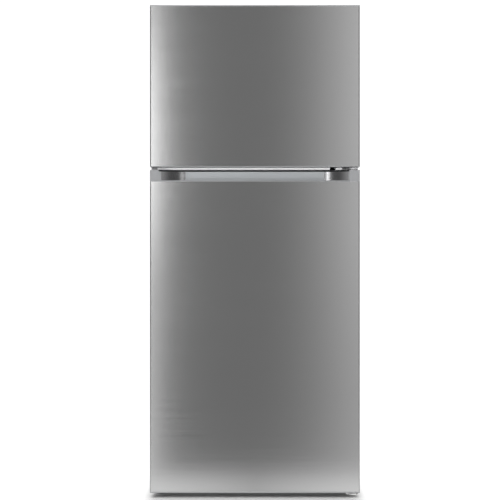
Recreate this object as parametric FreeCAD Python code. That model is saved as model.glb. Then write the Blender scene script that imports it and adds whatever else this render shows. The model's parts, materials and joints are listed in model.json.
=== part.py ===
import FreeCAD, Part
import math
import os

# A top freezer refrigerator: an insulated cabinet with two doors hinged on the right.
# Frame: +X right and +Y to the back as seen from the front, +Z up, floor at z = 0, mm throughout.

V = FreeCAD.Vector
X_AXIS = V(1, 0, 0)
Y_AXIS = V(0, 1, 0)
Z_AXIS = V(0, 0, 1)

# ---- driving dimensions: the outside ----
DOOR_HALF_WIDTH = 350.0
DOOR_FRONT_Y = -360.0
DOOR_BACK_Y = -298.0
CABINET_HALF_WIDTH = 348.0
CABINET_FRONT_Y = -288.0
CABINET_BACK_Y = 352.0
CABINET_BOTTOM_Z = 28.0
CABINET_TOP_Z = 1620.0
FREEZER_DOOR_Z = (1103.0, 1642.0)
FRIDGE_DOOR_Z = (16.0, 1092.0)
HANDLE_BOTTOM_Z = 1053.0

# ---- driving dimensions: sheets, walls and gaps ----
SHEET = 1.0
PAN_SHEET = 1.5
LINER_SHEET = 2.0
MOVING_GAP = 0.3
RUNNING_FIT = 0.05

# ---- driving dimensions: the two compartments (clear inner faces) ----
CAVITY_HALF_WIDTH = 296.0
CAVITY_BACK_Y = 290.0
CAVITY_CORNER = 18.0
FREEZER_CAVITY_Z = (1135.0, 1565.0)
FRIDGE_CAVITY_Z = (95.0, 1067.0)
FLANGE_INNER_X = 300.0
FLANGE_TUCK_X = 340.0
MULLION_MID_Z = 1100.0
MULLION_RAIL_Z = (1071.0, 1131.0)
MULLION_RAIL_HALF = 342.0
MULLION_NOSE_Z = (1094.0, 1102.0)
MULLION_NOSE_FRONT_Y = -322.0
MULLION_NOSE_SPANS = ((-326.0, 252.0), (272.0, 293.0))
HOLE_CAP_X = (-347.0, -327.0)
STEP_FRONT_Y = 110.0
STEP_TOP_Z = 292.0
LEDGE_DEPTH = 8.0
LEDGE_HEIGHT = 10.0
LEDGE_Y = (-165.0, 250.0)
SHELF_Z = (560.0, 810.0)
FREEZER_SHELF_Z = 1350.0

# ---- driving dimensions: machine space at the lower back ----
MACHINE_FRONT_Y = 170.0
MACHINE_TOP_Z = 231.0

# ---- driving dimensions: hinges, feet and rollers ----
HINGE_X = 330.0
HINGE_Y = -338.0
PIN_RADIUS = 4.0
PIN_ENTRY = 17.0
ARM_HALF_WIDTH = 8.5
HINGE_SHEET = 3.0
MIDDLE_LEAF_Z = (1095.5, 1099.5)
BOTTOM_LEAF_Z = (8.0, 12.0)
SCREW_HEAD_RADIUS = 4.0
SCREW_SHANK_RADIUS = 2.2
PLUG_SCREW = (262.0, 1098.0)
PLUG_HEAD_RADIUS = 7.5
FOOT_X = 312.0
FOOT_Y = -250.0
FOOT_RADIUS = 16.0
FOOT_STEM_RADIUS = 4.0
FOOT_STEM_TOP_Z = 44.0
FOOT_BOSS_RADIUS = 9.0
ROLLER_X = 290.0
ROLLER_Y = 310.0
ROLLER_RADIUS = 14.0
ROLLER_HALF_WIDTH = 8.0
AXLE_RADIUS = 4.0

# ---- driving dimensions: doors ----
SKIN_BACK_Y = -300.0
SKIN_CORNER = 4.0
SKIN_RETURN = 10.0
CAP_LIP = 4.0
FREEZER_BOTTOM_LIP = 1.5
CAP_INSET = 1.1
CAP_WALL = 3.0
NOTCH_X = 288.0
NOTCH_FRONT_Y = -355.5
NOTCH_FLOOR_Z = 1612.0
UNDERCUT_Y = (-352.0, -322.0)
UNDERCUT_X = (-300.0, 270.0)
DIKE_OUTER_X = 280.0
DIKE_WIDTH = 30.0
DIKE_BACK_Y = -240.0
DIKE_CLEARANCE_Z = 12.0
DIKE_CORNER_CLEARANCE = 6.0
DIKE_RIM_CLEARANCE = 1.0
GASKET_OUTER_X = 328.0
GASKET_WIDTH = 18.0
FREEZER_GASKET_Z = (1110.0, 1603.0)
FRIDGE_GASKET_Z = (62.0, 1088.0)

# ---- driving dimensions: the handle trim on the lower door ----
TRIM_X = (-322.0, 317.0)
TRIM_BACK_Y = -322.0
TRIM_WALL = 4.0
TRIM_LIP_HEIGHT = 4.0
TRIM_LIP_DEPTH = 6.0
TRIM_BACK_TOP_Z = 1087.0
POCKET_FLAT_HALF = 218.0
SCOOP_RADIUS = 150.0
WELL_HALF = 220.0
WELL_FLOOR_Z = 1029.0

# ---- driving dimensions: door bins and crisper drawers ----
BIN_HALF_WIDTH = 247.5
BIN_Y = (-297.0, -198.0)
BIN_HEIGHT = 92.0
BIN_WALL = 2.5
BIN_END_WALL = 5.0
BIN_CORNER = 24.0
LUG_X = 246.0
LUG_Y = (-276.0, -264.0)
LUG_RISE = (10.0, 30.0)
FREEZER_BIN_Z = (1185.0, 1385.0)
FRIDGE_BIN_Z = (140.0, 460.0, 785.0)
CRISPER_X = (3.0, 276.0)
CRISPER_Y = (-176.0, 101.0)
CRISPER_Z = (98.3, 279.0)
CRISPER_WALL = 2.5

# ---- driving dimensions: parts inside the compartments ----
COVER_PANEL_Y = (200.0, 203.0)
FAN_Z = 1475.0
FAN_RADIUS = 48.0
FAN_Y = (226.0, 244.0)
FAN_BLADES = 5
SHAFT_RADIUS = 2.0
CONTROL_X = (-150.0, 150.0)
CONTROL_Y = (-232.0, -70.0)
CONTROL_BOTTOM_Z = 1032.0
CONTROL_WALL = 2.5
KNOB_X = -75.0
KNOB_Y = -165.0
KNOB_RADIUS = 18.0
PLUNGER_X = 110.0
PLUNGER_Z = 1044.0
PLUNGER_RADIUS = 4.0
COMPRESSOR_X = 150.0
COMPRESSOR_Y = 258.0
COMPRESSOR_RADIUS = 72.0
GLAND_X = -290.0
GLAND_Z = 62.0
GLAND_NECK_RADIUS = 9.0
CORD_RADIUS = 4.0


# ------------------------------------------------------------------ helpers
def box(x0, x1, y0, y1, z0, z1):
    """A block between two opposite corners."""
    return Part.makeBox(x1 - x0, y1 - y0, z1 - z0, V(x0, y0, z0))


def rod(radius, start, end):
    """A round rod between two points."""
    axis = end.sub(start)
    return Part.makeCylinder(radius, axis.Length, start, axis)


def upright(radius, x, y, z0, z1):
    """A round rod standing along Z."""
    return rod(radius, V(x, y, z0), V(x, y, z1))


def parallel_edges(shape, axis):
    """Straight edges that run along an axis."""
    found = []
    for edge in shape.Edges:
        if isinstance(edge.Curve, Part.Line) and abs(edge.tangentAt(edge.FirstParameter).dot(axis)) > 0.999:
            found.append(edge)
    return found


def rounded(shape, axis, radius, keep=None):
    """Round the edges along an axis, only those whose middle passes the keep test if one is given."""
    edges = parallel_edges(shape, axis)
    if keep:
        edges = [edge for edge in edges if keep(edge.CenterOfMass)]
    return shape.makeFillet(radius, edges)


def joined(shapes):
    """One clean solid from shapes that touch or cross."""
    return shapes[0].multiFuse(shapes[1:]).removeSplitter()


def both_sides(shape):
    """A shape together with its mirror image across the middle plane."""
    return [shape, shape.mirror(V(0, 0, 0), X_AXIS)]


def prism(points, height):
    """A straight prism from a closed outline."""
    wire = Part.makePolygon(points + [points[0]])
    return Part.Face(wire).extrude(height)


# ------------------------------------------------------------------ cabinet
def cabinet_block(inset, front_y, back_y):
    """The cabinet's outer form, smaller all round by an inset, with rounded top edges."""
    half = CABINET_HALF_WIDTH - inset
    block = box(-half, half, front_y, back_y, CABINET_BOTTOM_Z, CABINET_TOP_Z - inset)
    return rounded(block, Y_AXIS, 6.0 - inset, lambda c: c.z > CABINET_TOP_Z - 2 * inset - 1)


def cabinet_shell():
    """Sides, top and front flange in one folded sheet, open at the back and bottom."""
    shell = cabinet_block(0, CABINET_FRONT_Y, CABINET_BACK_Y)
    hollow = cabinet_block(SHEET, CABINET_FRONT_Y + SHEET, CABINET_BACK_Y + 1)
    doorway = box(
        -FLANGE_INNER_X, FLANGE_INNER_X,
        CABINET_FRONT_Y - 1, CABINET_FRONT_Y + SHEET + 1,
        FRIDGE_CAVITY_Z[0] - 4, FREEZER_CAVITY_Z[1] + 4,
    )
    return shell.cut(hollow).cut(doorway).cut(mullion_face()).cut(cabinet_screws())


def back_panel():
    """Flat sheet with shallow pressed ribs, foamed onto the back."""
    inner_y = CABINET_BACK_Y - SHEET
    half = CABINET_HALF_WIDTH - SHEET
    rib_half = 36.0
    rib_rise = 3.0
    rib_slope = 5.0
    near = []
    for middle in (-220.0, 0.0, 220.0):
        near.append((middle - rib_half, 0.0))
        near.append((middle - rib_half + rib_slope, rib_rise))
        near.append((middle + rib_half - rib_slope, rib_rise))
        near.append((middle + rib_half, 0.0))
    inside = [V(-half, inner_y, MACHINE_TOP_Z)]
    inside += [V(x, inner_y + rise, MACHINE_TOP_Z) for x, rise in near]
    inside.append(V(half, inner_y, MACHINE_TOP_Z))
    outside = [point.add(V(0, SHEET, 0)) for point in reversed(inside)]
    return prism(inside + outside, V(0, 0, CABINET_TOP_Z - SHEET - 6 - MACHINE_TOP_Z))


def room(half_width, front_y, back_y, floor_z, ceiling_z, corner):
    """A compartment block with rounded corners seen from the front and a rounded back edge."""
    block = box(-half_width, half_width, front_y, back_y, floor_z, ceiling_z)
    return rounded(block, Y_AXIS, corner)


def liner_flange(bottom_z, top_z):
    """The liner's front rim, tucked behind the cabinet's front flange."""
    front = CABINET_FRONT_Y + SHEET
    return box(-FLANGE_TUCK_X, FLANGE_TUCK_X, front, front + LINER_SHEET, bottom_z, top_z)


def freezer_outer():
    """The freezer liner with its hollow filled."""
    outer = room(
        CAVITY_HALF_WIDTH + LINER_SHEET, CABINET_FRONT_Y + SHEET, CAVITY_BACK_Y + LINER_SHEET,
        FREEZER_CAVITY_Z[0] - LINER_SHEET, FREEZER_CAVITY_Z[1] + LINER_SHEET, CAVITY_CORNER + LINER_SHEET,
    )
    return outer.fuse(liner_flange(MULLION_MID_Z + 1, FREEZER_CAVITY_Z[1] + 42))


def freezer_hollow():
    """The clear space of the freezer compartment."""
    return room(
        CAVITY_HALF_WIDTH, CABINET_FRONT_Y - 1, CAVITY_BACK_Y,
        FREEZER_CAVITY_Z[0], FREEZER_CAVITY_Z[1], CAVITY_CORNER,
    )


def fridge_outer():
    """The fridge liner with its hollow filled, stepped over the machine space."""
    outer = room(
        CAVITY_HALF_WIDTH + LINER_SHEET, CABINET_FRONT_Y + SHEET, CAVITY_BACK_Y + LINER_SHEET,
        FRIDGE_CAVITY_Z[0] - LINER_SHEET, FRIDGE_CAVITY_Z[1] + LINER_SHEET, CAVITY_CORNER + LINER_SHEET,
    )
    step = box(
        -CABINET_HALF_WIDTH, CABINET_HALF_WIDTH,
        STEP_FRONT_Y + LINER_SHEET, CABINET_BACK_Y, 0, STEP_TOP_Z - LINER_SHEET,
    )
    return outer.cut(step).fuse(liner_flange(FRIDGE_CAVITY_Z[0] - 42, MULLION_MID_Z - 1))


def fridge_hollow():
    """The clear space of the fridge compartment."""
    hollow = room(
        CAVITY_HALF_WIDTH, CABINET_FRONT_Y - 1, CAVITY_BACK_Y,
        FRIDGE_CAVITY_Z[0], FRIDGE_CAVITY_Z[1], CAVITY_CORNER,
    )
    step = box(-CABINET_HALF_WIDTH, CABINET_HALF_WIDTH, STEP_FRONT_Y, CABINET_BACK_Y, 0, STEP_TOP_Z)
    return hollow.cut(step)


def ledges(top_z, back_y):
    """A pair of shelf ledges moulded into the side walls."""
    ledge = box(
        CAVITY_HALF_WIDTH - LEDGE_DEPTH, CAVITY_HALF_WIDTH + LINER_SHEET / 2,
        LEDGE_Y[0], back_y, top_z - LEDGE_HEIGHT, top_z,
    )
    ledge = rounded(ledge, Z_AXIS, 4.0, lambda c: c.x < CAVITY_HALF_WIDTH - 1)
    return both_sides(ledge)


def freezer_liner():
    """White vacuum-formed freezer lining with one pair of shelf ledges."""
    liner = freezer_outer().cut(freezer_hollow())
    return joined([liner] + ledges(FREEZER_SHELF_Z, COVER_PANEL_Y[0] - 1)).cut(cabinet_screws())


def fridge_liner():
    """White vacuum-formed fridge lining with shelf ledges and drawer runners on its floor."""
    liner = fridge_outer().cut(fridge_hollow())
    pieces = [liner]
    for top_z in SHELF_Z:
        pieces += ledges(top_z, LEDGE_Y[1])
    pieces += ledges(STEP_TOP_Z, STEP_FRONT_Y + LINER_SHEET / 2)
    for x in (30.0, 254.0):
        runner = box(
            x, x + 4, CRISPER_Y[0] + 10, STEP_FRONT_Y + LINER_SHEET / 2,
            FRIDGE_CAVITY_Z[0] - LINER_SHEET / 2, FRIDGE_CAVITY_Z[0] + 3,
        )
        pieces += both_sides(runner)
    return joined(pieces).cut(cabinet_screws())


def mullion_face():
    """The flat face of the middle rail, let into the cabinet's side flanges."""
    half = MULLION_RAIL_HALF
    return box(-half, half, CABINET_FRONT_Y, CABINET_FRONT_Y + SHEET, *MULLION_RAIL_Z)


def mullion_nose(x0, x1):
    """A folded light strip that stands forward from the rail into the gap between the doors."""
    z0, z1 = MULLION_NOSE_Z
    front = MULLION_NOSE_FRONT_Y
    strip = rounded(box(x0, x1, front, CABINET_FRONT_Y, z0, z1), X_AXIS, 1.5, lambda c: c.y < front + 1)
    hollow = box(x0 - 1, x1 + 1, front + 2 * SHEET, CABINET_FRONT_Y, z0 + SHEET, z1 - SHEET)
    return strip.cut(hollow)


def mullion_rail():
    """Steel rail across the front between the two compartments, with a web behind and a nose in front."""
    web_depth = 22.0
    web = box(
        -FLANGE_INNER_X, FLANGE_INNER_X, CABINET_FRONT_Y + SHEET, CABINET_FRONT_Y + web_depth,
        MULLION_MID_Z - 1, MULLION_MID_Z + 1,
    )
    noses = [mullion_nose(x0, x1) for x0, x1 in MULLION_NOSE_SPANS]
    return joined([mullion_face(), web] + noses).cut(cabinet_screws())


def mullion_hole_cap():
    """Small block over the spare hinge holes at the left end of the middle rail."""
    x0, x1 = HOLE_CAP_X
    base_front = CABINET_FRONT_Y - 8
    base = box(x0, x1, base_front, CABINET_FRONT_Y, 1089.0, 1106.0)
    front = MULLION_NOSE_FRONT_Y
    block = box(x0, x1, front, base_front + 1, MULLION_NOSE_Z[0] - 0.5, MULLION_NOSE_Z[1] + 0.5)
    block = rounded(block, Z_AXIS, 2.0, lambda c: c.y < front + 1)
    return joined([base, block])


def machine_space():
    """The block of space under the step that holds the compressor."""
    half = CABINET_HALF_WIDTH
    return box(-half, half, MACHINE_FRONT_Y, CABINET_BACK_Y + 1, 0, MACHINE_TOP_Z)


def foot_boss(side):
    """Threaded boss for a levelling foot, closed at the top."""
    return upright(FOOT_BOSS_RADIUS, side * FOOT_X, FOOT_Y, CABINET_BOTTOM_Z, FOOT_STEM_TOP_Z + 5)


def foot_bore(side):
    """The bore of a foot boss."""
    radius = FOOT_STEM_RADIUS + RUNNING_FIT
    return upright(radius, side * FOOT_X, FOOT_Y, 0, FOOT_STEM_TOP_Z + 2)


def roller_ears(side):
    """Two ears hanging from the pan on either side of a rear roller."""
    ears = []
    for direction in (-1, 1):
        inner = ROLLER_HALF_WIDTH + 1.0
        x0 = side * ROLLER_X + min(direction * inner, direction * (inner + 2))
        ear = box(x0, x0 + 2, ROLLER_Y - 14, ROLLER_Y + 14, 5, CABINET_BOTTOM_Z + 0.5)
        ears.append(rounded(ear, X_AXIS, 6.0, lambda c: c.z < 6))
    return ears


def base_pan():
    """Bottom sheet, with the raised wall and roof of the machine space, foot bosses and roller ears."""
    half = CABINET_HALF_WIDTH - SHEET
    back = CABINET_BACK_Y - SHEET
    floor_top = CABINET_BOTTOM_Z + PAN_SHEET
    pieces = [
        box(-half, half, CABINET_FRONT_Y + SHEET, back, CABINET_BOTTOM_Z, floor_top),
        box(-half, half, MACHINE_FRONT_Y - SHEET, MACHINE_FRONT_Y, floor_top, MACHINE_TOP_Z),
        box(-half, half, MACHINE_FRONT_Y - SHEET, back, MACHINE_TOP_Z - SHEET, MACHINE_TOP_Z),
    ]
    for side in (-1, 1):
        pieces.append(foot_boss(side))
        pieces += roller_ears(side)
    pan = joined(pieces)
    for side in (-1, 1):
        pan = pan.cut(foot_bore(side))
        reach = ROLLER_HALF_WIDTH + 1.0
        slot = box(
            side * ROLLER_X - reach, side * ROLLER_X + reach,
            ROLLER_Y - ROLLER_RADIUS - 3, ROLLER_Y + ROLLER_RADIUS + 3, 20, floor_top + 1,
        )
        axle_y_z = (ROLLER_Y, ROLLER_RADIUS)
        axle_hole = rod(
            AXLE_RADIUS + RUNNING_FIT,
            V(side * ROLLER_X - 20, *axle_y_z), V(side * ROLLER_X + 20, *axle_y_z),
        )
        pan = pan.cut(slot).cut(axle_hole)
    return pan.cut(cabinet_screws())


def cabinet_foam(made):
    """Insulation that fills everything between the shell, the liners and the pan."""
    foam = cabinet_block(SHEET, CABINET_FRONT_Y + SHEET, CABINET_BACK_Y - SHEET)
    above_pan = box(-400, 400, -400, 400, CABINET_BOTTOM_Z + PAN_SHEET, CABINET_TOP_Z)
    foam = foam.common(above_pan)
    for filled in (freezer_outer(), fridge_outer(), machine_space(), foot_boss(-1), foot_boss(1)):
        foam = foam.cut(filled)
    for name in ("mullion_rail", "base_pan", "cabinet_screws"):
        foam = foam.cut(made[name])
    return foam


# ------------------------------------------------------------------ hinges, screws and feet
def pan_screw(x, y, z, axis, length, head_radius=SCREW_HEAD_RADIUS):
    """A round-headed screw with its head proud of the surface and its shank going in along an axis."""
    head_height = 2.6
    surface = V(x, y, z)
    outward = V(axis).multiply(-1)
    crown = surface.add(V(outward).multiply(head_height))
    head = rod(head_radius, surface, crown)
    shank = rod(SCREW_SHANK_RADIUS, surface, surface.add(V(axis).multiply(length)))
    dome_edges = [e for e in head.Edges if isinstance(e.Curve, Part.Circle)]
    outer = [e for e in dome_edges if e.CenterOfMass.sub(surface).Length > 1]
    head = head.makeFillet(1.2, outer)
    arm = SCREW_SHANK_RADIUS
    cross = box(-0.5, 0.5, -arm, arm, -1.0, 1.0).fuse(box(-arm, arm, -0.5, 0.5, -1.0, 1.0))
    cross.Placement = FreeCAD.Placement(crown, FreeCAD.Rotation(Z_AXIS, outward))
    return head.cut(cross).fuse(shank).removeSplitter()


def top_hinge_screws():
    """Screws through the top hinge into the cabinet top."""
    down = V(0, 0, -1)
    spots = ((309.0, -270.0), (337.0, -270.0), (323.0, -226.0))
    return [pan_screw(x, y, CABINET_TOP_Z + HINGE_SHEET, down, 14.0) for x, y in spots]


def middle_hinge_screws():
    """Screws through the middle hinge, and a wide-headed one left of it, into the middle rail."""
    leaf_middle_z = sum(MIDDLE_LEAF_Z) / 2
    screws = [pan_screw(x, CABINET_FRONT_Y - 4, leaf_middle_z, Y_AXIS, 16.0) for x in (301.0, 311.0)]
    plug_x, plug_z = PLUG_SCREW
    screws.append(pan_screw(plug_x, CABINET_FRONT_Y, plug_z, Y_AXIS, 12.0, PLUG_HEAD_RADIUS))
    return screws


def bottom_hinge_screws():
    """Screws up through the bottom hinge into the pan."""
    spots = ((298.0, -275.0), (338.0, -275.0), (338.0, -228.0))
    return [pan_screw(x, y, CABINET_BOTTOM_Z - 4, Z_AXIS, 14.0) for x, y in spots]


def rear_cover_screws():
    """Screws along the top edge of the rear cover."""
    inward = V(0, -1, 0)
    screws = []
    for x in (-330.0, 0.0, 330.0):
        screws.append(pan_screw(x, CABINET_BACK_Y, MACHINE_TOP_Z - 8, inward, 0.9))
    return screws


def cabinet_screws():
    """Every screw of the cabinet, as separate solids."""
    screws = top_hinge_screws() + middle_hinge_screws() + bottom_hinge_screws() + rear_cover_screws()
    return Part.makeCompound(screws)


def hinge_pin(z0, z1):
    """A length of hinge pin on the doors' axis."""
    return upright(PIN_RADIUS, HINGE_X, HINGE_Y, z0, z1)


def top_hinge():
    """Flat plate on the cabinet top with a narrow arm out to the hinge pin."""
    z0 = CABINET_TOP_Z
    z1 = z0 + HINGE_SHEET
    plate = rounded(box(300, 346, -284, -215, z0, z1), Z_AXIS, 6.0)
    arm = box(HINGE_X - ARM_HALF_WIDTH, HINGE_X + ARM_HALF_WIDTH, HINGE_Y, -280, z0, z1)
    nose = upright(ARM_HALF_WIDTH, HINGE_X, HINGE_Y, z0, z1)
    pin = hinge_pin(NOTCH_FLOOR_Z - PIN_ENTRY, z0 + 1)
    return joined([plate, arm, nose, pin]).cut(Part.makeCompound(top_hinge_screws()))


def top_hinge_cover():
    """Plastic hood over the top hinge plate, open below."""
    z0 = CABINET_TOP_Z
    hood = box(294, 347, -287, -206, z0, z0 + 20)
    hood = rounded(hood, Z_AXIS, 8.0)
    top_edges = [e for e in hood.Edges if e.CenterOfMass.z > z0 + 19]
    hood = hood.makeFillet(4.0, top_edges)
    hollow = rounded(box(296.5, 346.5 - 2, -284.5, -208.5, z0 - 1, z0 + 17), Z_AXIS, 6.0)
    arm_way = box(HINGE_X - ARM_HALF_WIDTH - 1, HINGE_X + ARM_HALF_WIDTH + 1, -290, -280, z0 - 1, z0 + 4.5)
    plate_way = rounded(box(299.5, 346.5, -284.5, -214.5, z0 - 1, z0 + 3.5), Z_AXIS, 6.0)
    return hood.cut(hollow).cut(arm_way).cut(plate_way)


def middle_hinge():
    """Bracket on the middle rail whose leaf carries a pin up and a pin down."""
    z0, z1 = MIDDLE_LEAF_Z
    front = CABINET_FRONT_Y
    plate = rounded(box(295, 345, front - 4, front, 1090, 1105), Y_AXIS, 3.0)
    leaf = box(317, 343, HINGE_Y, front - 2, z0, z1)
    nose = upright(13.0, HINGE_X, HINGE_Y, z0, z1)
    pin = hinge_pin(FRIDGE_DOOR_Z[1] - PIN_ENTRY + 1.5, FREEZER_DOOR_Z[0] + PIN_ENTRY - 1.5)
    collar = upright(8.0, HINGE_X, HINGE_Y, z0 - 2.5, z1 + 2.5)
    body = joined([plate, leaf, nose, pin, collar])
    return body.cut(Part.makeCompound(middle_hinge_screws()))


def bottom_hinge():
    """Stepped bracket under the cabinet with a low leaf and a pin up into the lower door."""
    top = CABINET_BOTTOM_Z
    front = CABINET_FRONT_Y
    z0, z1 = BOTTOM_LEAF_Z
    plate = box(288, 346, front, -215, top - 4, top)
    web = box(300, 346, front - 4, front, z0, top)
    leaf = box(306, 346, HINGE_Y, front, z0, z1)
    nose = upright(16.0, HINGE_X, HINGE_Y, z0, z1)
    collar = upright(9.0, HINGE_X, HINGE_Y, z1, FRIDGE_DOOR_Z[0] - 0.4)
    pin = hinge_pin(z1, FRIDGE_DOOR_Z[0] + PIN_ENTRY)
    body = joined([plate, web, leaf, nose, collar, pin])
    foot_way = upright(FOOT_BOSS_RADIUS, FOOT_X, FOOT_Y, top - 5, top + 1)
    return body.cut(foot_way).cut(Part.makeCompound(bottom_hinge_screws()))


def levelling_foot(side):
    """Screw foot: a ribbed plastic disc on a threaded stem, screwed fully in."""
    x = side * FOOT_X
    disc = upright(FOOT_RADIUS, x, FOOT_Y, 0, 8)
    disc = disc.makeFillet(1.5, [e for e in disc.Edges if isinstance(e.Curve, Part.Circle)])
    grips = []
    for step in range(12):
        angle = step * math.tau / 12
        centre_x = x + (FOOT_RADIUS + 1.0) * math.cos(angle)
        centre_y = FOOT_Y + (FOOT_RADIUS + 1.0) * math.sin(angle)
        grips.append(upright(2.2, centre_x, centre_y, 2.5, 9))
    disc = disc.cut(Part.makeCompound(grips))
    collar = upright(9.0, x, FOOT_Y, 8, 16)
    stem = upright(FOOT_STEM_RADIUS, x, FOOT_Y, 15, FOOT_STEM_TOP_Z)
    return joined([disc, collar, stem])


def rear_roller(side):
    """Grooved roller with stub axles that turn in the pan's ears."""
    x = side * ROLLER_X
    centre = (ROLLER_Y, ROLLER_RADIUS)
    wheel = rod(ROLLER_RADIUS, V(x - ROLLER_HALF_WIDTH, *centre), V(x + ROLLER_HALF_WIDTH, *centre))
    wheel = wheel.makeFillet(1.5, [e for e in wheel.Edges if isinstance(e.Curve, Part.Circle)])
    axle = rod(AXLE_RADIUS, V(x - ROLLER_HALF_WIDTH - 5, *centre), V(x + ROLLER_HALF_WIDTH + 5, *centre))
    dishes = []
    for direction in (-1, 1):
        face = x + direction * ROLLER_HALF_WIDTH
        ring = rod(10.5, V(face, *centre), V(face - direction * 3, *centre))
        core = rod(6.5, V(face, *centre), V(face - direction * 3, *centre))
        dishes.append(ring.cut(core))
    return joined([wheel, axle]).cut(Part.makeCompound(dishes))


# ------------------------------------------------------------------ doors
def door_skin(z0, z1):
    """Front sheet of a door, wrapped round the sides and folded in at the back."""
    half = DOOR_HALF_WIDTH
    outer = box(-half, half, DOOR_FRONT_Y, SKIN_BACK_Y, z0, z1)
    outer = rounded(outer, Z_AXIS, SKIN_CORNER, lambda c: c.y < DOOR_FRONT_Y + 1)
    inner = box(-half + SHEET, half - SHEET, DOOR_FRONT_Y + SHEET, SKIN_BACK_Y - SHEET, z0 - 1, z1 + 1)
    inner = rounded(inner, Z_AXIS, SKIN_CORNER - SHEET, lambda c: c.y < DOOR_FRONT_Y + 2)
    mouth_half = half - SKIN_RETURN
    mouth = box(-mouth_half, mouth_half, SKIN_BACK_Y - SHEET - 1, SKIN_BACK_Y + 1, z0 - 1, z1 + 1)
    return outer.cut(inner).cut(mouth)


def door_footprint(inset, z0, z1, back_y=SKIN_BACK_Y):
    """A slice of the door's plan outline."""
    half = DOOR_HALF_WIDTH - inset
    front = DOOR_FRONT_Y + inset
    block = box(-half, half, front, back_y - inset, z0, z1)
    return rounded(block, Z_AXIS, SKIN_CORNER - inset, lambda c: c.y < front + 1)


def freezer_door_skin():
    """Stainless front of the freezer door, cut away behind its top right corner for the hinge arm."""
    skin = door_skin(FREEZER_DOOR_Z[0] + FREEZER_BOTTOM_LIP, FREEZER_DOOR_Z[1] - CAP_LIP)
    return skin.cut(hinge_notch())


def hinge_notch():
    """The space at the top right of the freezer door that the hinge arm swings through."""
    return box(NOTCH_X, 360, NOTCH_FRONT_Y, -290, NOTCH_FLOOR_Z, FREEZER_DOOR_Z[1] + 1)


def bushing_bore(z0, z1):
    """The bore that turns on a hinge pin."""
    return upright(PIN_RADIUS + RUNNING_FIT, HINGE_X, HINGE_Y, z0, z1)


def freezer_door_top_cap():
    """Plastic top of the freezer door, with the hinge block under its notch."""
    top = FREEZER_DOOR_Z[1]
    lip = door_footprint(0, top - CAP_LIP, top)
    block_left = NOTCH_X - CAP_WALL
    block = door_footprint(CAP_INSET, NOTCH_FLOOR_Z - 22, top - CAP_LIP)
    block = block.common(box(block_left, 400, -400, -290, 0, top))
    cap = joined([lip, block]).cut(hinge_notch())
    return cap.cut(bushing_bore(NOTCH_FLOOR_Z - PIN_ENTRY - 2, top))


def freezer_door_bottom_cap():
    """Plastic bottom of the freezer door with a finger undercut behind a strong front lip."""
    z0 = FREEZER_DOOR_Z[0]
    z1 = z0 + 24
    front = DOOR_FRONT_Y + CAP_INSET
    half = DOOR_HALF_WIDTH - CAP_INSET
    lip_top = z0 + FREEZER_BOTTOM_LIP
    lip = door_footprint(0, z0, lip_top)
    x0, x1 = UNDERCUT_X
    y0, y1 = UNDERCUT_Y
    channel = box(x0 - CAP_WALL, x1 + CAP_WALL, front, y1 + CAP_WALL, lip_top, z1)
    hinge_block = box(x1, half - 2, front + 2, SKIN_BACK_Y - 3, lip_top, z1)
    cap = joined([lip, channel, hinge_block])
    undercut = box(x0, x1, y0, y1, z0 - 1, z1 - CAP_WALL)
    undercut = rounded(undercut, X_AXIS, 6.0, lambda c: c.z > z0 + 5)
    return cap.cut(undercut).cut(bushing_bore(z0 - 1, z0 + PIN_ENTRY))


def dike_block(z0, z1, inset):
    """The raised ring of a door liner as a solid, smaller by an inset on every side."""
    outer_half = DIKE_OUTER_X - inset
    inner_half = DIKE_OUTER_X - DIKE_WIDTH + inset
    back = DIKE_BACK_Y - inset
    outer = box(-outer_half, outer_half, SKIN_BACK_Y - 1, back, z0 + inset, z1 - inset)
    outer = rounded(outer, Y_AXIS, 14.0 - inset)
    rim = [e for e in outer.Edges if abs(e.CenterOfMass.y - back) < 0.01]
    outer = outer.makeFillet(8.0 - inset, rim)
    hole = box(
        -inner_half, inner_half, SKIN_BACK_Y - 2, back + 1,
        z0 + DIKE_WIDTH - inset, z1 - DIKE_WIDTH + inset,
    )
    hole = rounded(hole, Y_AXIS, 10.0 + inset)
    return outer.cut(hole)


def bin_lugs(bottom_z):
    """A pair of block lugs on the raised ring's inner walls that carry one door bin."""
    wall = DIKE_OUTER_X - DIKE_WIDTH
    z0, z1 = (bottom_z + rise for rise in LUG_RISE)
    lug = box(LUG_X, wall + LINER_SHEET / 2, *LUG_Y, z0, z1)
    return both_sides(lug)


def door_liner(plate_z, dike_z, bin_bottoms):
    """White formed inner lining of a door with a hollow raised ring and lugs for its bins."""
    half = DOOR_HALF_WIDTH - 3
    plate = box(-half, half, SKIN_BACK_Y, DOOR_BACK_Y, *plate_z)
    ring = dike_block(dike_z[0], dike_z[1], 0).common(box(-400, 400, SKIN_BACK_Y, 0, 0, 2000))
    liner = joined([plate, ring]).cut(dike_block(dike_z[0], dike_z[1], LINER_SHEET))
    lugs = []
    for bottom in bin_bottoms:
        lugs += bin_lugs(bottom)
    return joined([liner] + lugs)


def dike_foam(z0, z1):
    """Square-cornered filling of a door liner's raised ring, short of the ring's rounded outer corners."""
    clear = LINER_SHEET + DIKE_CORNER_CLEARANCE
    outer_half = DIKE_OUTER_X - clear
    inner_half = DIKE_OUTER_X - DIKE_WIDTH + LINER_SHEET
    back = DIKE_BACK_Y - LINER_SHEET - DIKE_RIM_CLEARANCE
    outer = box(-outer_half, outer_half, SKIN_BACK_Y - 1, back, z0 + clear, z1 - clear)
    hole = box(
        -inner_half, inner_half, SKIN_BACK_Y - 2, back + 1,
        z0 + DIKE_WIDTH - LINER_SHEET, z1 - DIKE_WIDTH + LINER_SHEET,
    )
    return outer.cut(hole)


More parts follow.
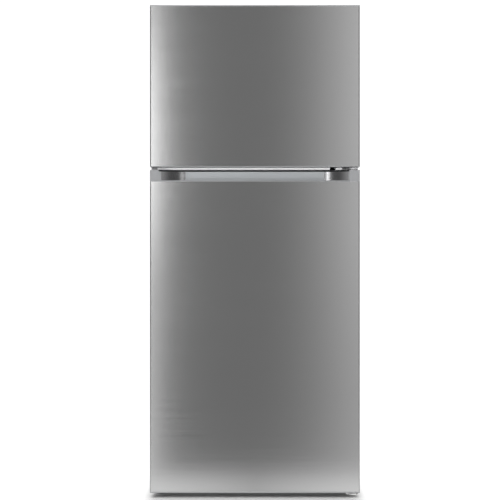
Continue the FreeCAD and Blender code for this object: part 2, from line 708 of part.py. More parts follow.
def door_foam(plate_z, dike_z, made, nearby):
    """Insulation that fills a door between its skin, caps and liner."""
    body = door_footprint(SHEET, plate_z[0], plate_z[1], SKIN_BACK_Y + SHEET)
    foam = body.fuse(dike_foam(*dike_z))
    for name in nearby:
        foam = foam.cut(made[name])
    return foam


def gasket(z_range):
    """Soft frame round the back of a door, with a shallow groove along its face."""
    outer_x = GASKET_OUTER_X
    inner_x = outer_x - GASKET_WIDTH
    z0, z1 = z_range
    back = CABINET_FRONT_Y - MOVING_GAP
    outer = rounded(box(-outer_x, outer_x, DOOR_BACK_Y, back, z0, z1), Y_AXIS, 6.0)
    inner = box(-inner_x, inner_x, DOOR_BACK_Y - 1, back + 1, z0 + GASKET_WIDTH, z1 - GASKET_WIDTH)
    frame = outer.cut(inner)
    side_groove = (DOOR_BACK_Y + 3, DOOR_BACK_Y + 6)
    groove_outer = box(-outer_x - 1, outer_x + 1, *side_groove, z0 - 1, z1 + 1)
    groove_inner = box(-outer_x + 4, outer_x - 4, *side_groove, z0 + 4, z1 - 4)
    return frame.cut(groove_outer.cut(groove_inner))


FREEZER_PLATE_Z = (FREEZER_DOOR_Z[0] + FREEZER_BOTTOM_LIP, NOTCH_FLOOR_Z - 2)
FREEZER_DIKE_Z = (FREEZER_CAVITY_Z[0] + DIKE_CLEARANCE_Z, FREEZER_CAVITY_Z[1] - DIKE_CLEARANCE_Z)
FRIDGE_PLATE_Z = (FRIDGE_DOOR_Z[0] + CAP_LIP, FRIDGE_DOOR_Z[1] - 2)
FRIDGE_DIKE_Z = (FRIDGE_CAVITY_Z[0] + DIKE_CLEARANCE_Z, FRIDGE_CAVITY_Z[1] - DIKE_CLEARANCE_Z)


def freezer_door_liner():
    """Liner of the freezer door."""
    return door_liner(FREEZER_PLATE_Z, FREEZER_DIKE_Z, FREEZER_BIN_Z)


def freezer_door_foam(made):
    """Foam of the freezer door, up to the underside of its top cap."""
    inside_z = (FREEZER_DOOR_Z[0] + FREEZER_BOTTOM_LIP, FREEZER_DOOR_Z[1] - CAP_LIP)
    nearby = ("freezer_door_skin", "freezer_door_top_cap", "freezer_door_bottom_cap", "freezer_door_liner")
    foam = door_foam(inside_z, FREEZER_DIKE_Z, made, nearby)
    above_liner = box(-400, 400, SKIN_BACK_Y - SHEET, -200, FREEZER_PLATE_Z[1], 2000)
    x0, x1 = UNDERCUT_X
    undercut = box(x0, x1, *UNDERCUT_Y, FREEZER_DOOR_Z[0], FREEZER_DOOR_Z[0] + 24)
    return foam.cut(hinge_notch()).cut(above_liner).cut(undercut).Solids[0]


def freezer_door_gasket():
    """Gasket of the freezer door."""
    return gasket(FREEZER_GASKET_Z)


def fridge_door_skin():
    """Stainless front of the fridge door, below the handle trim."""
    return door_skin(FRIDGE_DOOR_Z[0] + CAP_LIP, HANDLE_BOTTOM_Z)


def pocket_space():
    """The finger recess: open at the front and top, flat at the back with a round scoop at each end."""
    front = DOOR_FRONT_Y - 1
    back = TRIM_BACK_Y - TRIM_WALL
    floor = HANDLE_BOTTOM_Z + TRIM_LIP_HEIGHT
    turn = math.acos(1 - (back - front) / SCOOP_RADIUS)

    def on_scoop(side, angle):
        """A point of one scoop, whose arc leaves the flat back smoothly."""
        x = side * (POCKET_FLAT_HALF + SCOOP_RADIUS * math.sin(angle))
        return V(x, back - SCOOP_RADIUS * (1 - math.cos(angle)), floor)

    ends = [[on_scoop(side, angle) for angle in (0, turn / 2, turn)] for side in (-1, 1)]
    left, right = ends
    outline = Part.Wire([
        Part.Arc(left[2], left[1], left[0]).toShape(),
        Part.makeLine(left[0], right[0]),
        Part.Arc(*right).toShape(),
        Part.makeLine(right[2], left[2]),
    ])
    return Part.Face(outline).extrude(V(0, 0, FRIDGE_DOOR_Z[1] + 5 - floor))


def well_space():
    """The deeper part of the recess behind the lip, where fingertips hook down."""
    front = DOOR_FRONT_Y + TRIM_LIP_DEPTH
    back = TRIM_BACK_Y - TRIM_WALL
    top = HANDLE_BOTTOM_Z + TRIM_LIP_HEIGHT + 1
    well = box(-WELL_HALF, WELL_HALF, front, back, WELL_FLOOR_Z, top)
    return rounded(well, X_AXIS, 6.0, lambda c: c.z < WELL_FLOOR_Z + 1)


def handle_trim():
    """Satin silver middle of the handle: a scooped finger recess along the top of the lower door."""
    front = DOOR_FRONT_Y
    upper = box(TRIM_X[0], TRIM_X[1], front, TRIM_BACK_Y, HANDLE_BOTTOM_Z, TRIM_BACK_TOP_Z)
    lower_half = DOOR_HALF_WIDTH - SKIN_CORNER
    lower = box(
        -lower_half, lower_half, front + SHEET, TRIM_BACK_Y,
        WELL_FLOOR_Z - CAP_WALL, HANDLE_BOTTOM_Z,
    )
    ends = []
    for x0, x1 in ((TRIM_X[0], TRIM_X[0] + 2), (TRIM_X[1] - 2, TRIM_X[1])):
        ends.append(box(x0, x1, front, TRIM_BACK_Y, TRIM_BACK_TOP_Z, FRIDGE_DOOR_Z[1]))
    body = joined([upper, lower] + ends)
    return body.cut(pocket_space()).cut(well_space())


def handle_cap(x0, x1, corner_x):
    """Textured end cap of the handle trim, its outer front edge rounded like the door's."""
    cap = box(x0, x1, DOOR_FRONT_Y, TRIM_BACK_Y, HANDLE_BOTTOM_Z, FRIDGE_DOOR_Z[1])
    return rounded(cap, Z_AXIS, SKIN_CORNER, lambda c: abs(c.x - corner_x) < 1 and c.y < DOOR_FRONT_Y + 1)


def handle_cap_left():
    """Left end cap."""
    return handle_cap(-DOOR_HALF_WIDTH, TRIM_X[0], -DOOR_HALF_WIDTH)


def handle_cap_right():
    """Right end cap, bored for the middle hinge's lower pin."""
    cap = handle_cap(TRIM_X[1], DOOR_HALF_WIDTH, DOOR_HALF_WIDTH)
    return cap.cut(bushing_bore(FRIDGE_DOOR_Z[1] - PIN_ENTRY, FRIDGE_DOOR_Z[1] + 1))


def fridge_door_top_cap():
    """Dark rail behind the handle trim, with a thin front edge that shows above the recess."""
    top = FRIDGE_DOOR_Z[1]
    half = DOOR_HALF_WIDTH
    rail = box(-half, half, TRIM_BACK_Y, SKIN_BACK_Y, HANDLE_BOTTOM_Z, top)
    hollow = box(
        -half + CAP_WALL, half - CAP_WALL, TRIM_BACK_Y + CAP_WALL, SKIN_BACK_Y + 1,
        HANDLE_BOTTOM_Z - 1, top - CAP_WALL,
    )
    edge_half = POCKET_FLAT_HALF + 60
    edge = box(-edge_half, edge_half, TRIM_BACK_Y - TRIM_WALL, TRIM_BACK_Y, TRIM_BACK_TOP_Z, top)
    return joined([rail.cut(hollow), edge]).cut(pocket_space())


def fridge_door_bottom_cap():
    """Plastic bottom of the fridge door with its hinge block."""
    z0 = FRIDGE_DOOR_Z[0]
    half = DOOR_HALF_WIDTH
    lip = door_footprint(0, z0, z0 + CAP_LIP)
    wall_top = z0 + 24
    rear_wall = box(
        -half + SKIN_RETURN + 2, half - SKIN_RETURN - 2, SKIN_BACK_Y - SHEET - CAP_WALL, SKIN_BACK_Y - SHEET,
        z0 + CAP_LIP, wall_top,
    )
    hinge_block = box(
        HINGE_X - 22, half - CAP_WALL, DOOR_FRONT_Y + CAP_WALL, SKIN_BACK_Y - CAP_WALL,
        z0 + CAP_LIP, wall_top,
    )
    cap = joined([lip, rear_wall, hinge_block])
    return cap.cut(bushing_bore(z0 - 1, z0 + PIN_ENTRY + 2))


def fridge_door_liner():
    """Liner of the fridge door."""
    return door_liner(FRIDGE_PLATE_Z, FRIDGE_DIKE_Z, FRIDGE_BIN_Z)


def fridge_door_foam(made):
    """Foam of the fridge door, up to the handle trim and into the hollow rail behind it."""
    inside_z = (FRIDGE_DOOR_Z[0] + CAP_LIP, FRIDGE_DOOR_Z[1] - CAP_WALL)
    nearby = ("fridge_door_skin", "fridge_door_bottom_cap", "fridge_door_top_cap", "fridge_door_liner")
    foam = door_foam(inside_z, FRIDGE_DIKE_Z, made, nearby)
    handle_space = box(-400, 400, DOOR_FRONT_Y, TRIM_BACK_Y, WELL_FLOOR_Z - CAP_WALL, FRIDGE_DOOR_Z[1])
    return foam.cut(handle_space).Solids[0]


def fridge_door_gasket():
    """Gasket of the fridge door."""
    return gasket(FRIDGE_GASKET_Z)


# ------------------------------------------------------------------ door bins and drawers
def door_bin(bottom_z):
    """Open tray that hooks over two lugs, with rounded front corners and a raised front rail."""
    half = BIN_HALF_WIDTH
    y0, y1 = BIN_Y
    top = bottom_z + BIN_HEIGHT
    outer = rounded(box(-half, half, y0, y1, bottom_z, top), Z_AXIS, BIN_CORNER, lambda c: c.y > y1 - 1)
    at_bottom = [e for e in outer.Edges if abs(e.CenterOfMass.z - bottom_z) < 0.01]
    low_edges = [e for e in at_bottom if e.CenterOfMass.y > y0 + 1]
    outer = outer.makeFillet(3.0, low_edges)
    inner = box(
        -half + BIN_END_WALL, half - BIN_END_WALL, y0 + BIN_WALL, y1 - BIN_WALL,
        bottom_z + BIN_WALL, top + 1,
    )
    inner = rounded(inner, Z_AXIS, BIN_CORNER - BIN_WALL, lambda c: c.y > y1 - BIN_WALL - 1)
    back_dip = box(-half + 40, half - 40, y0 - 1, y0 + BIN_WALL + 1, bottom_z + 40, top + 1)
    tray = outer.cut(inner).cut(back_dip)
    for slot in both_sides(lug_slot(bottom_z)):
        tray = tray.cut(slot)
    return tray


def lug_slot(bottom_z):
    """The slot in a bin's end wall that drops over a lug, open at the bottom."""
    side_gap = 0.6
    return box(
        LUG_X - side_gap, BIN_HALF_WIDTH + 1, LUG_Y[0] - side_gap, LUG_Y[1] + side_gap,
        bottom_z - 1, bottom_z + LUG_RISE[1] + MOVING_GAP,
    )


def crisper(side):
    """Deep drawer with a rounded body, a thick front and a finger lip along the front's top."""
    x0, x1 = CRISPER_X
    y0, y1 = CRISPER_Y
    z0, z1 = CRISPER_Z
    wall = CRISPER_WALL
    body = rounded(box(x0, x1, y0 + 4, y1, z0, z1), Z_AXIS, 10.0)
    low_edges = [e for e in body.Edges if abs(e.CenterOfMass.z - z0) < 0.01]
    body = body.makeFillet(6.0, low_edges)
    front = rounded(box(x0, x1, y0, y0 + 6, z0 + 2, z1), Y_AXIS, 4.0)
    hollow = rounded(box(x0 + wall, x1 - wall, y0 + 8, y1 - wall, z0 + wall, z1 + 1), Z_AXIS, 8.0)
    drawer = joined([body, front]).cut(hollow)
    grip_half = 60.0
    middle = (x0 + x1) / 2
    grip = box(middle - grip_half, middle + grip_half, y0 - 1, y0 + 4.5, z1 - 26, z1 - 6)
    grip = rounded(grip, Y_AXIS, 8.0)
    drawer = drawer.cut(grip)
    if side < 0:
        drawer = drawer.mirror(V(0, 0, 0), X_AXIS)
    return drawer


# ------------------------------------------------------------------ freezer interior
def evaporator_cover():
    """White panel in front of the evaporator, with air slots at the top and bottom."""
    y0, y1 = COVER_PANEL_Y
    half = CAVITY_HALF_WIDTH - 2
    z0, z1 = FREEZER_CAVITY_Z
    panel = rounded(box(-half, half, y0, y1, z0 + 2, z1 - 3), Y_AXIS, CAVITY_CORNER)
    slots = []
    for row in range(9):
        height = FAN_Z - 40 + row * 10
        reach = 52 * math.sqrt(1 - ((height - FAN_Z) / 54) ** 2) + 24
        slots.append(box(-reach, reach, y0 - 1, y1 + 1, height - 2.2, height + 2.2))
    for column in range(-9, 10):
        x = column * 26.0
        slots.append(box(x - 8, x + 8, y0 - 1, y1 + 1, z0 + 18, z0 + 24))
    return panel.cut(Part.makeCompound(slots))


def evaporator_coil():
    """Finned coil behind the cover: tube rows through upright fins."""
    half = 230.0
    rows_z = (1175.0, 1225.0, 1275.0, 1325.0)
    tube_y = (235.0, 262.0)
    pieces = []
    for z in rows_z:
        for y in tube_y:
            pieces.append(rod(4.0, V(-half - 8, y, z), V(half + 8, y, z)))
    fin_pitch = 23.0
    for column in range(21):
        x = -half + column * fin_pitch
        pieces.append(box(x - 0.6, x + 0.6, tube_y[0] - 14, tube_y[1] + 14, rows_z[0] - 18, rows_z[-1] + 18))
    return joined(pieces)


def fan_motor():
    """Small motor on a bracket at the freezer's back wall, its shaft toward the front."""
    body = rod(22.0, V(0, 250, FAN_Z), V(0, 285, FAN_Z))
    bracket = rounded(box(-50, 50, 285, CAVITY_BACK_Y, FAN_Z - 24, FAN_Z + 24), Y_AXIS, 8.0)
    shaft = rod(SHAFT_RADIUS, V(0, FAN_Y[0] + 2, FAN_Z), V(0, 251, FAN_Z))
    nose = rod(7.0, V(0, 246, FAN_Z), V(0, 251, FAN_Z))
    return joined([body, bracket, shaft, nose])


def evaporator_fan():
    """Five-bladed fan on the motor shaft."""
    y0, y1 = FAN_Y
    pieces = [rod(13.0, V(0, y0, FAN_Z), V(0, y1, FAN_Z))]
    for count in range(FAN_BLADES):
        blade = box(10, FAN_RADIUS, -1.0, 1.0, -13, 13)
        corners = [e for e in parallel_edges(blade, Y_AXIS) if e.CenterOfMass.x > 40]
        blade = blade.makeFillet(8.0, corners)
        blade.rotate(V(0, 0, 0), X_AXIS, 55)
        blade.rotate(V(0, 0, 0), Y_AXIS, count * 360 / FAN_BLADES)
        blade.translate(V(0, (y0 + y1) / 2, FAN_Z))
        pieces.append(blade)
    fan = joined(pieces)
    return fan.cut(rod(SHAFT_RADIUS + RUNNING_FIT, V(0, y0 + 1, FAN_Z), V(0, y1 + 1, FAN_Z)))


def freezer_shelf():
    """Coated wire shelf that rests on the freezer's ledges."""
    frame_half = 292.0
    y0, y1 = LEDGE_Y[0] + 4, COVER_PANEL_Y[0] - 14
    z = FREEZER_SHELF_Z + 2.5
    pieces = []
    for y in (y0, (y0 + y1) / 2, y1):
        pieces.append(rod(2.5, V(-frame_half, y, z), V(frame_half, y, z)))
    for column in range(-14, 15):
        x = column * 20.0
        pieces.append(rod(1.6, V(x, y0 - 2, z + 3.4), V(x, y1 + 2, z + 3.4)))
    return joined(pieces)


# ------------------------------------------------------------------ fridge interior
def shelf_glass(top_of_ledge):
    """Tempered glass shelf panel on a pair of ledges."""
    glass = box(-293, 293, -172, 248, top_of_ledge, top_of_ledge + 4)
    return rounded(glass, Z_AXIS, 6.0)


def shelf_trim(top_of_ledge):
    """Moulded front edge clipped onto a glass shelf."""
    trim = box(-290, 290, -181, -166, top_of_ledge - 4, top_of_ledge + 8)
    trim = rounded(trim, X_AXIS, 3.0)
    return trim.cut(shelf_glass(top_of_ledge))


def crisper_cover():
    """Clear panel over the drawers, resting on the step and on two ledges."""
    cover = box(-293, 293, -178, 284, STEP_TOP_Z, STEP_TOP_Z + 5)
    return rounded(cover, Z_AXIS, 6.0)


def air_duct():
    """Raised cold-air duct cover up the middle of the fridge's back wall."""
    y0, y1 = 262.0, CAVITY_BACK_Y
    z0, z1 = 330.0, 1045.0
    half = 95.0
    duct = rounded(box(-half, half, y0, y1, z0, z1), Y_AXIS, 16.0)
    rim = [e for e in duct.Edges if abs(e.CenterOfMass.y - y0) < 0.01]
    duct = duct.makeFillet(8.0, rim)
    hollow = rounded(box(-half + 3, half - 3, y0 + 3, y1 + 1, z0 + 3, z1 - 3), Y_AXIS, 13.0)
    duct = duct.cut(hollow)
    vents = []
    for z in (430.0, 640.0, 700.0, 890.0, 950.0):
        for side in (-1, 1):
            vents.append(box(side * 50 - 25, side * 50 + 25, y0 - 1, y0 + 4, z - 4, z + 4))
    return duct.cut(Part.makeCompound(vents))


def control_housing():
    """Box under the fridge's ceiling that carries the thermostat, the lamp and the lamp switch."""
    x0, x1 = CONTROL_X
    y0, y1 = CONTROL_Y
    z0, z1 = CONTROL_BOTTOM_Z, FRIDGE_CAVITY_Z[1]
    wall = CONTROL_WALL
    shell = rounded(box(x0, x1, y0, y1, z0, z1), Z_AXIS, 12.0)
    hollow = rounded(box(x0 + wall, x1 - wall, y0 + wall, y1 - wall, z0 + wall, z1 + 1), Z_AXIS, 9.5)
    shell = shell.cut(hollow)
    knob_bore = upright(4.0 + RUNNING_FIT, KNOB_X, KNOB_Y, z0 - 1, z0 + wall + 1)
    switch_bore = rod(
        PLUNGER_RADIUS + RUNNING_FIT,
        V(PLUNGER_X, y0 - 1, PLUNGER_Z), V(PLUNGER_X, y0 + wall + 1, PLUNGER_Z),
    )
    lamp_hole = box(10, 90, -185, -105, z0 - 1, z0 + wall + 1)
    return shell.cut(knob_bore).cut(switch_bore).cut(lamp_hole)


def lamp_cover():
    """Ribbed clear cover clipped under the control housing."""
    top = CONTROL_BOTTOM_Z
    cover = rounded(box(2, 98, -193, -97, top - 9, top), Z_AXIS, 8.0)
    rim = [e for e in cover.Edges if abs(e.CenterOfMass.z - (top - 9)) < 0.01]
    cover = cover.makeFillet(4.0, rim)
    hollow = rounded(box(4.5, 95.5, -190.5, -99.5, top - 6.5, top + 1), Z_AXIS, 6.0)
    return cover.cut(hollow)


def thermostat_knob():
    """Round knob under the control housing, with a pointer ridge and a stem through the housing."""
    top = CONTROL_BOTTOM_Z - MOVING_GAP
    bottom = top - 14
    disc = upright(KNOB_RADIUS, KNOB_X, KNOB_Y, bottom + 6, top)
    grip = rounded(box(KNOB_X - 3, KNOB_X + 3, KNOB_Y - 15, KNOB_Y + 15, bottom, bottom + 8), Z_AXIS, 2.5)
    stem = upright(4.0, KNOB_X, KNOB_Y, top - 2, top + 10)
    disc = disc.makeFillet(1.5, [e for e in disc.Edges if abs(e.CenterOfMass.z - (bottom + 6)) < 0.01])
    return joined([disc, grip, stem])


def switch_plunger():
    """Lamp switch plunger in the housing's front face, held in by the closed door."""
    tip = DIKE_BACK_Y + MOVING_GAP
    tail = CONTROL_Y[0] + 22
    stem = rod(PLUNGER_RADIUS, V(PLUNGER_X, tip, PLUNGER_Z), V(PLUNGER_X, tail, PLUNGER_Z))
    stem = stem.makeFillet(1.2, [e for e in stem.Edges if abs(e.CenterOfMass.y - tip) < 0.01])
    flange = rod(7.0, V(PLUNGER_X, tail - 3, PLUNGER_Z), V(PLUNGER_X, tail, PLUNGER_Z))
    return joined([stem, flange])


# ------------------------------------------------------------------ machine space
MOUNT_X = (COMPRESSOR_X - 82, COMPRESSOR_X + 82)
MOUNT_Y = (COMPRESSOR_Y - 50, COMPRESSOR_Y + 50)
MOUNT_TOP_Z = 46.0


def compressor():
    """Hermetic compressor: domed shell on a pressed mounting plate, with a terminal cover."""
    radius = COMPRESSOR_RADIUS
    centre = V(COMPRESSOR_X, COMPRESSOR_Y, 0)
    profile_low = 56.0
    seam = 118.0
    profile_high = 196.0
    shell = Part.makeCylinder(radius, profile_high - profile_low, V(centre.x, centre.y, profile_low))
    circles = [e for e in shell.Edges if isinstance(e.Curve, Part.Circle)]
    shell = shell.makeFillet(34.0, circles)
    band = Part.makeCylinder(radius + 3, 5, V(centre.x, centre.y, seam))
    edge = 14.0
    plate = box(
        MOUNT_X[0] - edge, MOUNT_X[1] + edge, MOUNT_Y[0] - edge, MOUNT_Y[1] + edge,
        MOUNT_TOP_Z, MOUNT_TOP_Z + 3,
    )
    plate = rounded(plate, Z_AXIS, 12.0)
    pedestal = Part.makeCylinder(44, 16, V(centre.x, centre.y, MOUNT_TOP_Z))
    terminal = box(centre.x - radius - 22, centre.x - radius + 12, centre.y - 28, centre.y + 28, 96, 156)
    terminal = rounded(terminal, X_AXIS, 6.0)
    return joined([shell, band, plate, pedestal, terminal])


def compressor_mounts():
    """Four rubber grommets under the compressor's plate, as separate solids."""
    mounts = []
    for x in MOUNT_X:
        for y in MOUNT_Y:
            foot = upright(13.0, x, y, CABINET_BOTTOM_Z + PAN_SHEET, MOUNT_TOP_Z)
            waist = upright(20.0, x, y, 35, 40).cut(upright(10.0, x, y, 35, 40))
            mounts.append(foot.cut(waist))
    return Part.makeCompound(mounts)


def tube(points, radius):
    """A bent tube through a run of points."""
    curve = Part.BSplineCurve()
    curve.interpolate(points)
    path = Part.Wire([curve.toShape()])
    start = points[0]
    direction = curve.tangent(curve.FirstParameter)[0]
    ring = Part.Wire([Part.Edge(Part.Circle(start, direction, radius))])
    return path.makePipeShell([ring], True, True)


def refrigerant_lines():
    """Suction and discharge tubes, with the drier between the condenser and the capillary."""
    cx, cy = COMPRESSOR_X, COMPRESSOR_Y
    roof = MACHINE_TOP_Z - SHEET
    side = cx + COMPRESSOR_RADIUS
    suction = tube([
        V(side + 1, cy + 20, 90), V(side + 26, cy + 24, 100),
        V(side + 40, cy + 30, 150), V(side + 44, cy + 30, roof - 1),
    ], 4.0)
    discharge = tube([
        V(side + 1, cy - 20, 88), V(side + 30, cy - 30, 84),
        V(side + 66, cy - 44, 110), V(side + 78, cy - 50, roof - 1),
    ], 3.0)
    drier = rod(9.0, V(-20, 300, 96), V(-20, 300, 196))
    drier = drier.makeFillet(6.0, [e for e in drier.Edges if isinstance(e.Curve, Part.Circle)])
    stem = rod(2.5, V(-20, 300, 190), V(-20, 300, roof))
    return Part.makeCompound([suction, discharge, joined([drier, stem])])


def drip_tray():
    """Shallow tray on the pan that catches defrost water."""
    z0 = CABINET_BOTTOM_Z + PAN_SHEET
    tray = rounded(box(-250, -40, 185, 335, z0, z0 + 42), Z_AXIS, 14.0)
    hollow = rounded(box(-247, -43, 188, 332, z0 + 3, z0 + 50), Z_AXIS, 11.0)
    return tray.cut(hollow)


def rear_cover():
    """Perforated sheet over the machine space at the back."""
    half = CABINET_HALF_WIDTH - SHEET
    z0, z1 = CABINET_BOTTOM_Z, MACHINE_TOP_Z
    cover = box(-half, half, CABINET_BACK_Y - SHEET, CABINET_BACK_Y, z0, z1)
    slots = []
    for row in range(6):
        for column in range(-9, 10):
            x = column * 32.0
            z = z0 + 62 + row * 20
            slots.append(box(x - 11, x + 11, CABINET_BACK_Y - 3, CABINET_BACK_Y + 2, z - 3, z + 3))
    cover = cover.cut(Part.makeCompound(slots))
    cover = cover.cut(gland_rod(GLAND_NECK_RADIUS, -12, 8))
    return cover.cut(Part.makeCompound(rear_cover_screws()))


def gland_rod(radius, start, end):
    """A round rod on the gland's axis, from and to distances behind the cover's outer face."""
    return rod(radius, V(GLAND_X, CABINET_BACK_Y + start, GLAND_Z), V(GLAND_X, CABINET_BACK_Y + end, GLAND_Z))


def cord_gland():
    """Round gland in the rear cover where the supply cord would come out."""
    proud = 8.0
    outside = gland_rod(14.0, 0, proud)
    rim = [e for e in outside.Edges if e.CenterOfMass.y > CABINET_BACK_Y + proud - 1]
    outside = outside.makeFillet(2.0, rim)
    neck = gland_rod(GLAND_NECK_RADIUS, -6, 0)
    return joined([outside, neck]).cut(gland_rod(CORD_RADIUS, -10, proud + 2))


# ------------------------------------------------------------------ build and write every node
def build_all():
    """Every node by name; the foams come last because they fill what is left."""
    made = {
        "cabinet_screws": cabinet_screws(),
        "cabinet_shell": cabinet_shell(),
        "back_panel": back_panel(),
        "freezer_liner": freezer_liner(),
        "fridge_liner": fridge_liner(),
        "mullion_rail": mullion_rail(),
        "mullion_hole_cap": mullion_hole_cap(),
        "base_pan": base_pan(),
        "top_hinge": top_hinge(),
        "top_hinge_cover": top_hinge_cover(),
        "middle_hinge": middle_hinge(),
        "bottom_hinge": bottom_hinge(),
        "levelling_foot_left": levelling_foot(-1),
        "levelling_foot_right": levelling_foot(1),
        "rear_roller_left": rear_roller(-1),
        "rear_roller_right": rear_roller(1),
        "freezer_door_skin": freezer_door_skin(),
        "freezer_door_top_cap": freezer_door_top_cap(),
        "freezer_door_bottom_cap": freezer_door_bottom_cap(),
        "freezer_door_liner": freezer_door_liner(),
        "freezer_door_gasket": freezer_door_gasket(),
        "fridge_door_skin": fridge_door_skin(),
        "handle_trim": handle_trim(),
        "handle_cap_left": handle_cap_left(),
        "handle_cap_right": handle_cap_right(),
        "fridge_door_top_cap": fridge_door_top_cap(),
        "fridge_door_bottom_cap": fridge_door_bottom_cap(),
        "fridge_door_liner": fridge_door_liner(),
        "fridge_door_gasket": fridge_door_gasket(),
        "freezer_bin_lower": door_bin(FREEZER_BIN_Z[0]),
        "freezer_bin_upper": door_bin(FREEZER_BIN_Z[1]),
        "fridge_bin_lower": door_bin(FRIDGE_BIN_Z[0]),
        "fridge_bin_middle": door_bin(FRIDGE_BIN_Z[1]),
        "fridge_bin_upper": door_bin(FRIDGE_BIN_Z[2]),
        "crisper_left": crisper(-1),
        "crisper_right": crisper(1),
        "evaporator_cover": evaporator_cover(),
        "evaporator_coil": evaporator_coil(),
        "fan_motor": fan_motor(),
        "evaporator_fan": evaporator_fan(),
        "freezer_shelf": freezer_shelf(),
        "lower_shelf_glass": shelf_glass(SHELF_Z[0]),
        "lower_shelf_trim": shelf_trim(SHELF_Z[0]),
        "upper_shelf_glass": shelf_glass(SHELF_Z[1]),
        "upper_shelf_trim": shelf_trim(SHELF_Z[1]),
        "crisper_cover": crisper_cover(),
        "air_duct": air_duct(),
        "control_housing": control_housing(),
        "lamp_cover": lamp_cover(),
        "thermostat_knob": thermostat_knob(),
        "switch_plunger": switch_plunger(),
        "compressor": compressor(),
        "compressor_mounts": compressor_mounts(),
        "refrigerant_lines": refrigerant_lines(),
        "drip_tray": drip_tray(),
        "rear_cover": rear_cover(),
        "cord_gland": cord_gland(),
    }
    made["cabinet_foam"] = cabinet_foam(made)
    made["freezer_door_foam"] = freezer_door_foam(made)
    made["fridge_door_foam"] = fridge_door_foam(made)
    return made


os.makedirs("parts", exist_ok=True)
for node_name, node_shape in build_all().items():
    node_shape.exportStep("parts/" + node_name + ".step")
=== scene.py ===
import json
import math

import bmesh
import bpy
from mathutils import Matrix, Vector


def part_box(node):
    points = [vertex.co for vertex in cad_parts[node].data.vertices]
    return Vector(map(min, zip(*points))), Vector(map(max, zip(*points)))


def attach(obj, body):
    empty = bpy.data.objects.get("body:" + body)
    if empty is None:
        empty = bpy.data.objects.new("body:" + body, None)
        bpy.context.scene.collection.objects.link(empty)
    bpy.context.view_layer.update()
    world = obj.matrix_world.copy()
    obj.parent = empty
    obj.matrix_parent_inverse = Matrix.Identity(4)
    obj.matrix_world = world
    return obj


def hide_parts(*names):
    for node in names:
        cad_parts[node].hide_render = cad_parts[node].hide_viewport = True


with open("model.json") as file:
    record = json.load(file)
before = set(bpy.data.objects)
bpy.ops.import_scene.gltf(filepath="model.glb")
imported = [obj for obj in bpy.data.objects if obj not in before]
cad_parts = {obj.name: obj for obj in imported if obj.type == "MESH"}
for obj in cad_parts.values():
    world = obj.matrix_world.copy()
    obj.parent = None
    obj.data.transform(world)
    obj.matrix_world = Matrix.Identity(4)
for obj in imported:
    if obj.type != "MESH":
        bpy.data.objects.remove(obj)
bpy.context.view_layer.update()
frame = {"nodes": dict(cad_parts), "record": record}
nodes = frame["nodes"]
scene = bpy.context.scene

# A top freezer refrigerator in a white studio. Metres, +X right, +Y to the back, +Z up.

# ---- CAD dimensions that the finishes and the added pieces share ----
DOOR_FRONT_Y = -0.360
DOOR_BEND_X = (0.3455, 0.3490)
POCKET_FLAT_HALF = 0.218
HINGE_NOTCH_X = 0.288
PLUG_SCREW_X = 0.262
PLUG_SCREW_Z = 1.098
PLUG_HEAD_RADIUS = 0.0078
SHELL_SHEET = 0.001
SHELL_CORNER = 0.005
MOUNT_RADIUS = 0.013

# ---- camera: the picture is FRAME_WIDTH wide at the doors ----
FRAME_WIDTH = 1.666
CAMERA_X = -0.0162
CAMERA_Z = 0.8252
CAMERA_DISTANCE = 5.2
SENSOR = 36.0

# ---- background and floor ----
WHITE_LEVEL = 1.1
# Grey of the floor round the footprint, kept dark as painted shade.
FLOOR_PAINTED_SHADE_GREY = 0.50
FLOOR_REACH = 14.0
FLOOR_SHADE_HALF = (0.325, 0.400)
FLOOR_FADE = (0.0, 0.06)

# ---- what the steel reflects ----
FLOOR_CARD_LEVELS = (0.62, 0.95)
FLOOR_CARD_REACH = 0.34
FLOOR_CARD_HALF_WIDTH = 1.6
FLOOR_CARD_DEPTH = 0.60
PANEL_Y = -3.2
PANEL_Z = (-1.0, 3.0)
ROOM_FRONT = 0.215
ROOM_CORNER = 0.10
ROOM_SIDE = 0.60
ROOM_BACK = 0.60
# Where each level lies, from straight ahead of the doors (0) round to straight behind (1).
ROOM_LEVELS = (
    (0.02, ROOM_FRONT), (0.05, ROOM_CORNER), (0.18, ROOM_CORNER), (0.48, ROOM_SIDE), (0.75, ROOM_BACK),
)
BEND_ROUGHNESS = 0.4


